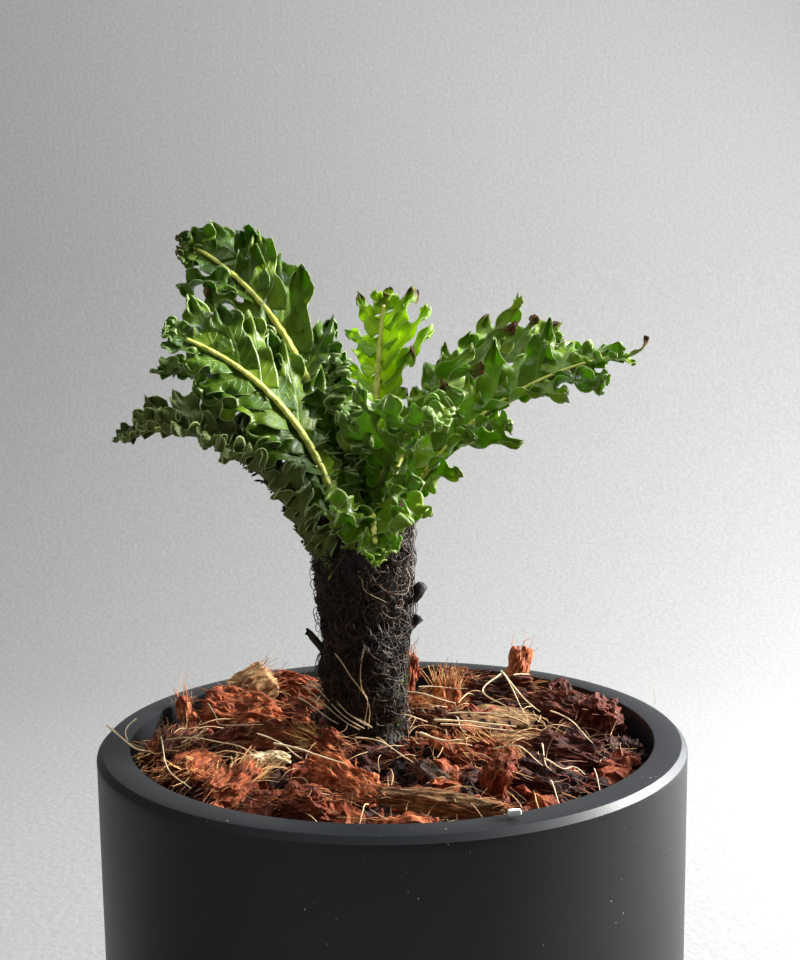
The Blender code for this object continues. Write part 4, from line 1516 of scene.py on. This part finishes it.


# Straws given one by one: thickness in mm, how pale each is, then the x, y and
# height over the rim, in mm, of the points it runs through.
STRAWS = (
    (0.3, 1, -23.3, 10.4, 9, -13.8, 3.4, 6.5, -5.1, -9.2, 3),
    (0.28, 1, -21.3, 9.6, 10, -13.4, -1.5, 6.5, -5.7, -8.6, 3),
    (0.25, 1, -20.2, 9.8, 10.8, -13, -3.4, 7, -7.6, -8.7, 4.5),
    (0.26, 1, -22.4, 9, 10.2, -14, -3, 6, -7, -10, 3),
    (0.22, 0.9, -24.2, 8, 9.2, -15.5, -2, 5.4, -8.2, -9.6, 2.6),
    (0.28, 0.9, -25.3, 5.9, 6.5, -19.6, 1.5, 5, -13.8, -5.7, 3),
    (0.26, 0.85, -22.6, 8.4, 5.6, -14.6, 0.6, 3.6, -8, -6, 1.6),
    (0.2, 0.8, -57.7, -8.8, 0, -48.5, -16.4, 3, -41.1, -22.4, 4, -36, -28, 4, -30.3, -31, 1),
    (0.24, 0.9, -48.7, 2.7, 6, -45.3, -4.2, 5, -42.7, -8.1, 4, -32.8, -10.2, 4),
    (0.24, 0.9, -33.4, -17.8, 4, -25.8, -23, 3, -21.4, -26.9, 1),
    (0.36, 0.75, -74.1, -2.6, 2, -64, -16.6, 1.5, -60.3, -14.5, -1),
    (0.25, 0.85, -66.3, -3.5, 4, -67.6, -7.1, 3, -66.2, -12.5, 1.5),
    (0.22, 0.95, -58.8, -9.5, 1, -54.1, -27.1, 1, -50.8, -32.1, -1, -46.6, -36.8, -3),
    (0.32, 0.9, 30, 21.9, 9, 34.1, 8, 7, 38.8, 2.7, 3),
    (0.32, 0.75, 30, 22.5, 8, 24.7, 14.3, 6, 30, 6.2, 4, 34.8, -5.6, 2),
    (0.24, 0.9, 33.2, 17.3, 9, 38.4, 20.4, 9),
    (0.26, 0.85, 30.5, 18.5, 9, 32.8, 5, 7, 35.1, -2.7, 3),
    (0.24, 0.9, 7.1, 24.8, 4, 14.7, 25.5, 4, 21.1, 24.1, 4),
    (0.34, 0.85, 14.4, 4.4, 2, 21.8, 3.4, 3, 28.2, 1.3, 3, 35.1, -3.1, 1),
    (0.45, 1, 6.7, -15.4, 3, 12.5, -19.7, 3, 17, -21.5, 3),
    (0.24, 0.8, 36.2, -22.3, 2, 36.1, -30.6, 1, 37.2, -34.9, 0),
    (0.26, 0.85, 35.3, -33.7, 2, 39.3, -36.5, 1, 42.3, -35.2, 1, 44.4, -36.4, -1),
    (0.26, 0.9, 35.7, -43.1, 0, 37.4, -47.6, -3),
    (0.22, 0.8, 47.2, -32.3, -1, 48.2, -37.5, -4),
    (0.2, 0.85, 16.7, 1.6, 2, 17.4, -5.7, 2, 19.1, -6.8, 1),
    (0.09, 1, 65.5, -5.3, 12, 67.2, -5.9, 9, 67.9, -2.7, 6),
    (
        0.22, 0.7, -14.6, -5.6, 21, -11, -6.4, 16.4, -7.8, -6.9, 12.7,
        -6, -6.6, 7.7, -6.2, -6.8, 1.7,
    ),
    (
        0.22, 0.7, -7.1, -6.4, 23.1, -7.8, -6.6, 17.9, -7.4, -6.9, 13,
        -6.4, -6.5, 8.8, -7.3, -6.6, 2.5,
    ),
    (0.16, 0.5, -12.5, -5.4, 42.1, -7.5, -6.4, 40.7, -6, -6.2, 37.6, -0.9, -5, 33.7),
    (0.16, 0.5, -12.5, -5.4, 42.1, -7.2, -6.3, 42.3, -1.1, -4.9, 42.4),
    (0.42, 1, 10.5, -8, 4, 20.5, -9.5, 4.5, 31, -12.5, 3.5),
    (0.34, 0.9, 12, -10.2, 3.5, 22, -12.5, 4, 30.5, -14, 3),
    (0.26, 1, -52, -18, 2, -47.5, -22.5, 5.5, -44, -25, 8),
    (0.24, 1, -53.5, -14, 2, -50.5, -18.5, 6, -49.5, -20.5, 9),
    (0.34, 0.95, -28.5, -26, 4, -20, -31.5, 4.5, -11, -36, 2.5),
    (0.24, 0.9, -9, -22, 4, -1.5, -27, 4.5, 5, -33.5, 2),
    (0.24, 0.95, 40, -8, 6, 45.5, -14, 5, 49, -21, 2),
    (0.26, 0.95, 24, -29, 3, 30.5, -31, 4.5, 35, -36, 1.5),
    (0.3, 1, 2, 12.5, 6, 9.5, 9, 6.5, 17, 8.5, 4),
)


def make_straws():
    paths, thicks, tints = [], [], []
    for thick, pale, *points in STRAWS:
        spots = np.array(points, float).reshape(-1, 3) * MM + np.array([0, 0, RIM_Z])
        count = 7 * len(spots)
        path = smooth_path(spots, count)
        kink = np.sin(np.linspace(0, 1.6 * len(spots), count) + 5 * thick)
        paths.append(path + kink[:, None] * np.array([0.25, 0.2, 0.3]) * MM)
        share = np.linspace(0, 1, count)
        thicks.append(0.75 * thick * MM * (1 - 0.45 * share) * (1 + 0.15 * np.sin(share * 17)))
        tints.append(pale)
    finish = strand_material("pale_straw", (0.42, 0.20, 0.07), (0.98, 0.80, 0.50), 0.35, 0.45)
    attach(strands("laid_straws", paths, thicks, tints, 6, finish), "husk")


def make_flake_and_grain():
    finish = plain_noise_material(
        "cream_pith", (0.55, 0.38, 0.18), (0.90, 0.78, 0.52), 900, 0.6
    )
    obj, *_ = fibrous_chip("cream_flake", finish, 81, 7)
    attach(obj, "flake", "cream_flake")
    finish = plain_noise_material(
        "fertiliser_white", (0.72, 0.72, 0.68), (0.92, 0.92, 0.90), 1200, 0.35
    )
    bm = cut_finer("fertiliser_grain", 4)
    for _ in range(6):
        soften(bm, 0.5)
    grain = mesh_object("fertiliser_pellet", *spent(bm), finish)
    attach(grain, "grain", "fertiliser_grain")


# --------------------------------------------------------------------- pot


def make_pot():
    """A turned pot: broad flat rim, small bright chamfer, recessed foot."""
    r, h = POT_RADIUS, RIM_Z
    foot, inner = POT_FOOT_RADIUS, RIM_INNER_RADIUS
    outline = [
        (foot - 7 * MM, 0.0),
        (foot - 1.0 * MM, 0.0),
        (foot - 0.3 * MM, 0.3 * MM),
        (foot, 1.0 * MM),
        (foot + 0.37 * MM, 35 * MM),
        (foot + 0.75 * MM, 70 * MM),
        (foot + 1.12 * MM, 105 * MM),
        (r - 0.06 * MM, h - 4 * MM),
        (r, h - 1.9 * MM),
        (r - 0.12 * MM, h - 1.45 * MM),
        (r - 1.45 * MM, h - 0.12 * MM),
        (r - 1.9 * MM, h),
        ((r + inner) / 2, h),
        (inner + 0.5 * MM, h),
        (inner + 0.12 * MM, h - 0.12 * MM),
        (inner, h - 0.5 * MM),
        (inner, h - 12 * MM),
        (r - 4.5 * MM, h - 18 * MM),
        (foot - 4.5 * MM, 8 * MM),
        (7 * MM, 8 * MM),
        (7 * MM, 3 * MM),
        (foot - 8 * MM, 3 * MM),
    ]
    angles = np.linspace(0, math.tau, POT_SEGMENTS, endpoint=False)
    verts = []
    for radius, z in outline:
        ring = np.stack([radius * np.cos(angles), radius * np.sin(angles), 0 * angles + z], -1)
        verts.append(ring)
    index = np.arange(len(outline) * POT_SEGMENTS).reshape(-1, POT_SEGMENTS)
    nxt = np.roll(index, -1, axis=1)
    below, above = index, np.roll(index, -1, axis=0)
    faces = np.stack([below, nxt, np.roll(nxt, -1, axis=0), above], -1).reshape(-1, 4)
    pot = mesh_object("pot_turned", np.vstack(verts), faces, pot_material())
    bm = bmesh.new()
    bm.from_mesh(pot.data)
    for edge in bm.edges:
        edge.smooth = edge.calc_face_angle(0.0) < SHARP_ANGLE
    bm.to_mesh(pot.data)
    bm.free()
    attach(pot, "pot", "pot")


# ------------------------------------------------------------ stage, lights


FLOOR_FRONT = -1.6
SWEEP_START = 0.55
SWEEP_REACH = 0.35
SWEEP_STEPS = 12
WALL_TOP = 2.4
STAGE_HALF_WIDTH = 2.2


def make_stage():
    """A plain pale floor that sweeps up into a plain pale backdrop."""
    finish = plain_noise_material(
        "studio_paper", (0.265, 0.265, 0.26), (0.30, 0.30, 0.295), 300, 0.9
    )
    profile = [(FLOOR_FRONT, 0.0), (SWEEP_START, 0.0)]
    for step in range(1, SWEEP_STEPS + 1):
        turn = step / SWEEP_STEPS * math.pi / 2
        back = SWEEP_START + SWEEP_REACH * math.sin(turn)
        profile.append((back, SWEEP_REACH * (1 - math.cos(turn))))
    profile.append((SWEEP_START + SWEEP_REACH, WALL_TOP))
    sides = (-STAGE_HALF_WIDTH, STAGE_HALF_WIDTH)
    verts = [(x, y, z) for y, z in profile for x in sides]
    faces = [(2 * i, 2 * i + 1, 2 * i + 3, 2 * i + 2) for i in range(len(profile) - 1)]
    floor = mesh_object("studio_sweep", np.array(verts), faces, finish)


# Each lamp: its place, what it points at, size (m), power (W) and colour.
LAMPS = {
    "window": ((0.80, 0.20, 0.56), (0, 0, 0.18), 0.24, 28.0, (1.0, 0.98, 0.95)),
    "sky": ((-0.15, 0.25, 1.2), (0, 0, 0.18), 0.9, 2.2, (0.94, 0.97, 1.0)),
    "fill": ((-0.6, -0.9, 0.5), (0, 0, 0.18), 1.0, 1.5, (1.0, 1.0, 1.0)),
    "side": ((0.90, 0.68, 0.22), (0, 0, 0.12), 0.50, 9.0, (0.90, 0.95, 1.0)),
    "brow": ((0.50, 0.30, 1.00), (0, 0, 0.14), 0.30, 7.0, (0.82, 0.91, 1.0)),
    "wall": ((-0.25, 0.1, 1.5), (-0.1, 0.9, 0.45), 0.7, 5.4, (1.0, 1.0, 1.0)),
}
WORLD_STRENGTH = 0.10


def area_light(name, place, target, size, power, colour):
    lamp = bpy.data.lights.new(name, "AREA")
    lamp.shape = "DISK"
    lamp.size = size
    lamp.energy = power
    lamp.color = colour
    obj = placed(name, lamp)
    obj.location = place
    aim = Vector(target) - Vector(place)
    obj.rotation_euler = aim.to_track_quat("-Z", "Y").to_euler()


def make_lights():
    for name, row in LAMPS.items():
        area_light(name, *row)
    world = bpy.data.worlds.new("studio")
    bpy.context.scene.world = world
    world.use_nodes = True
    back = world.node_tree.nodes["Background"]
    back.inputs["Color"].default_value = (1.0, 1.0, 1.0, 1.0)
    back.inputs["Strength"].default_value = WORLD_STRENGTH
    bpy.context.scene.view_settings.view_transform = "Standard"


CAMERA_PLACE = (0.00278, -0.30648, 0.23171)
CAMERA_RIGHT = (0.9999, -0.0011, -0.0125)
CAMERA_UP = (0.0125, 0.0869, 0.9961)
CAMERA_AHEAD = (0.0, 0.9962, -0.0870)
FOCAL_LENGTH = 54.0
SENSOR_WIDTH = 36.0


def make_camera():
    lens = bpy.data.cameras.new("camera")
    lens.lens = FOCAL_LENGTH
    lens.sensor_width = SENSOR_WIDTH
    lens.sensor_fit = "HORIZONTAL"
    lens.clip_start = 0.001
    camera = placed("camera", lens)
    turn = Matrix((CAMERA_RIGHT, CAMERA_UP, -Vector(CAMERA_AHEAD))).transposed()
    camera.matrix_world = Matrix.Translation(CAMERA_PLACE) @ turn.to_4x4()
    bpy.context.scene.camera = camera


make_camera()
make_pot()
make_bed()
make_chips()
make_loose_fibres()
make_straws()
make_flake_and_grain()
make_trunk()
make_roots()
make_root_hairs()
make_stubs()
make_moss()
make_scales()
make_fronds()
make_stage()
make_lights()
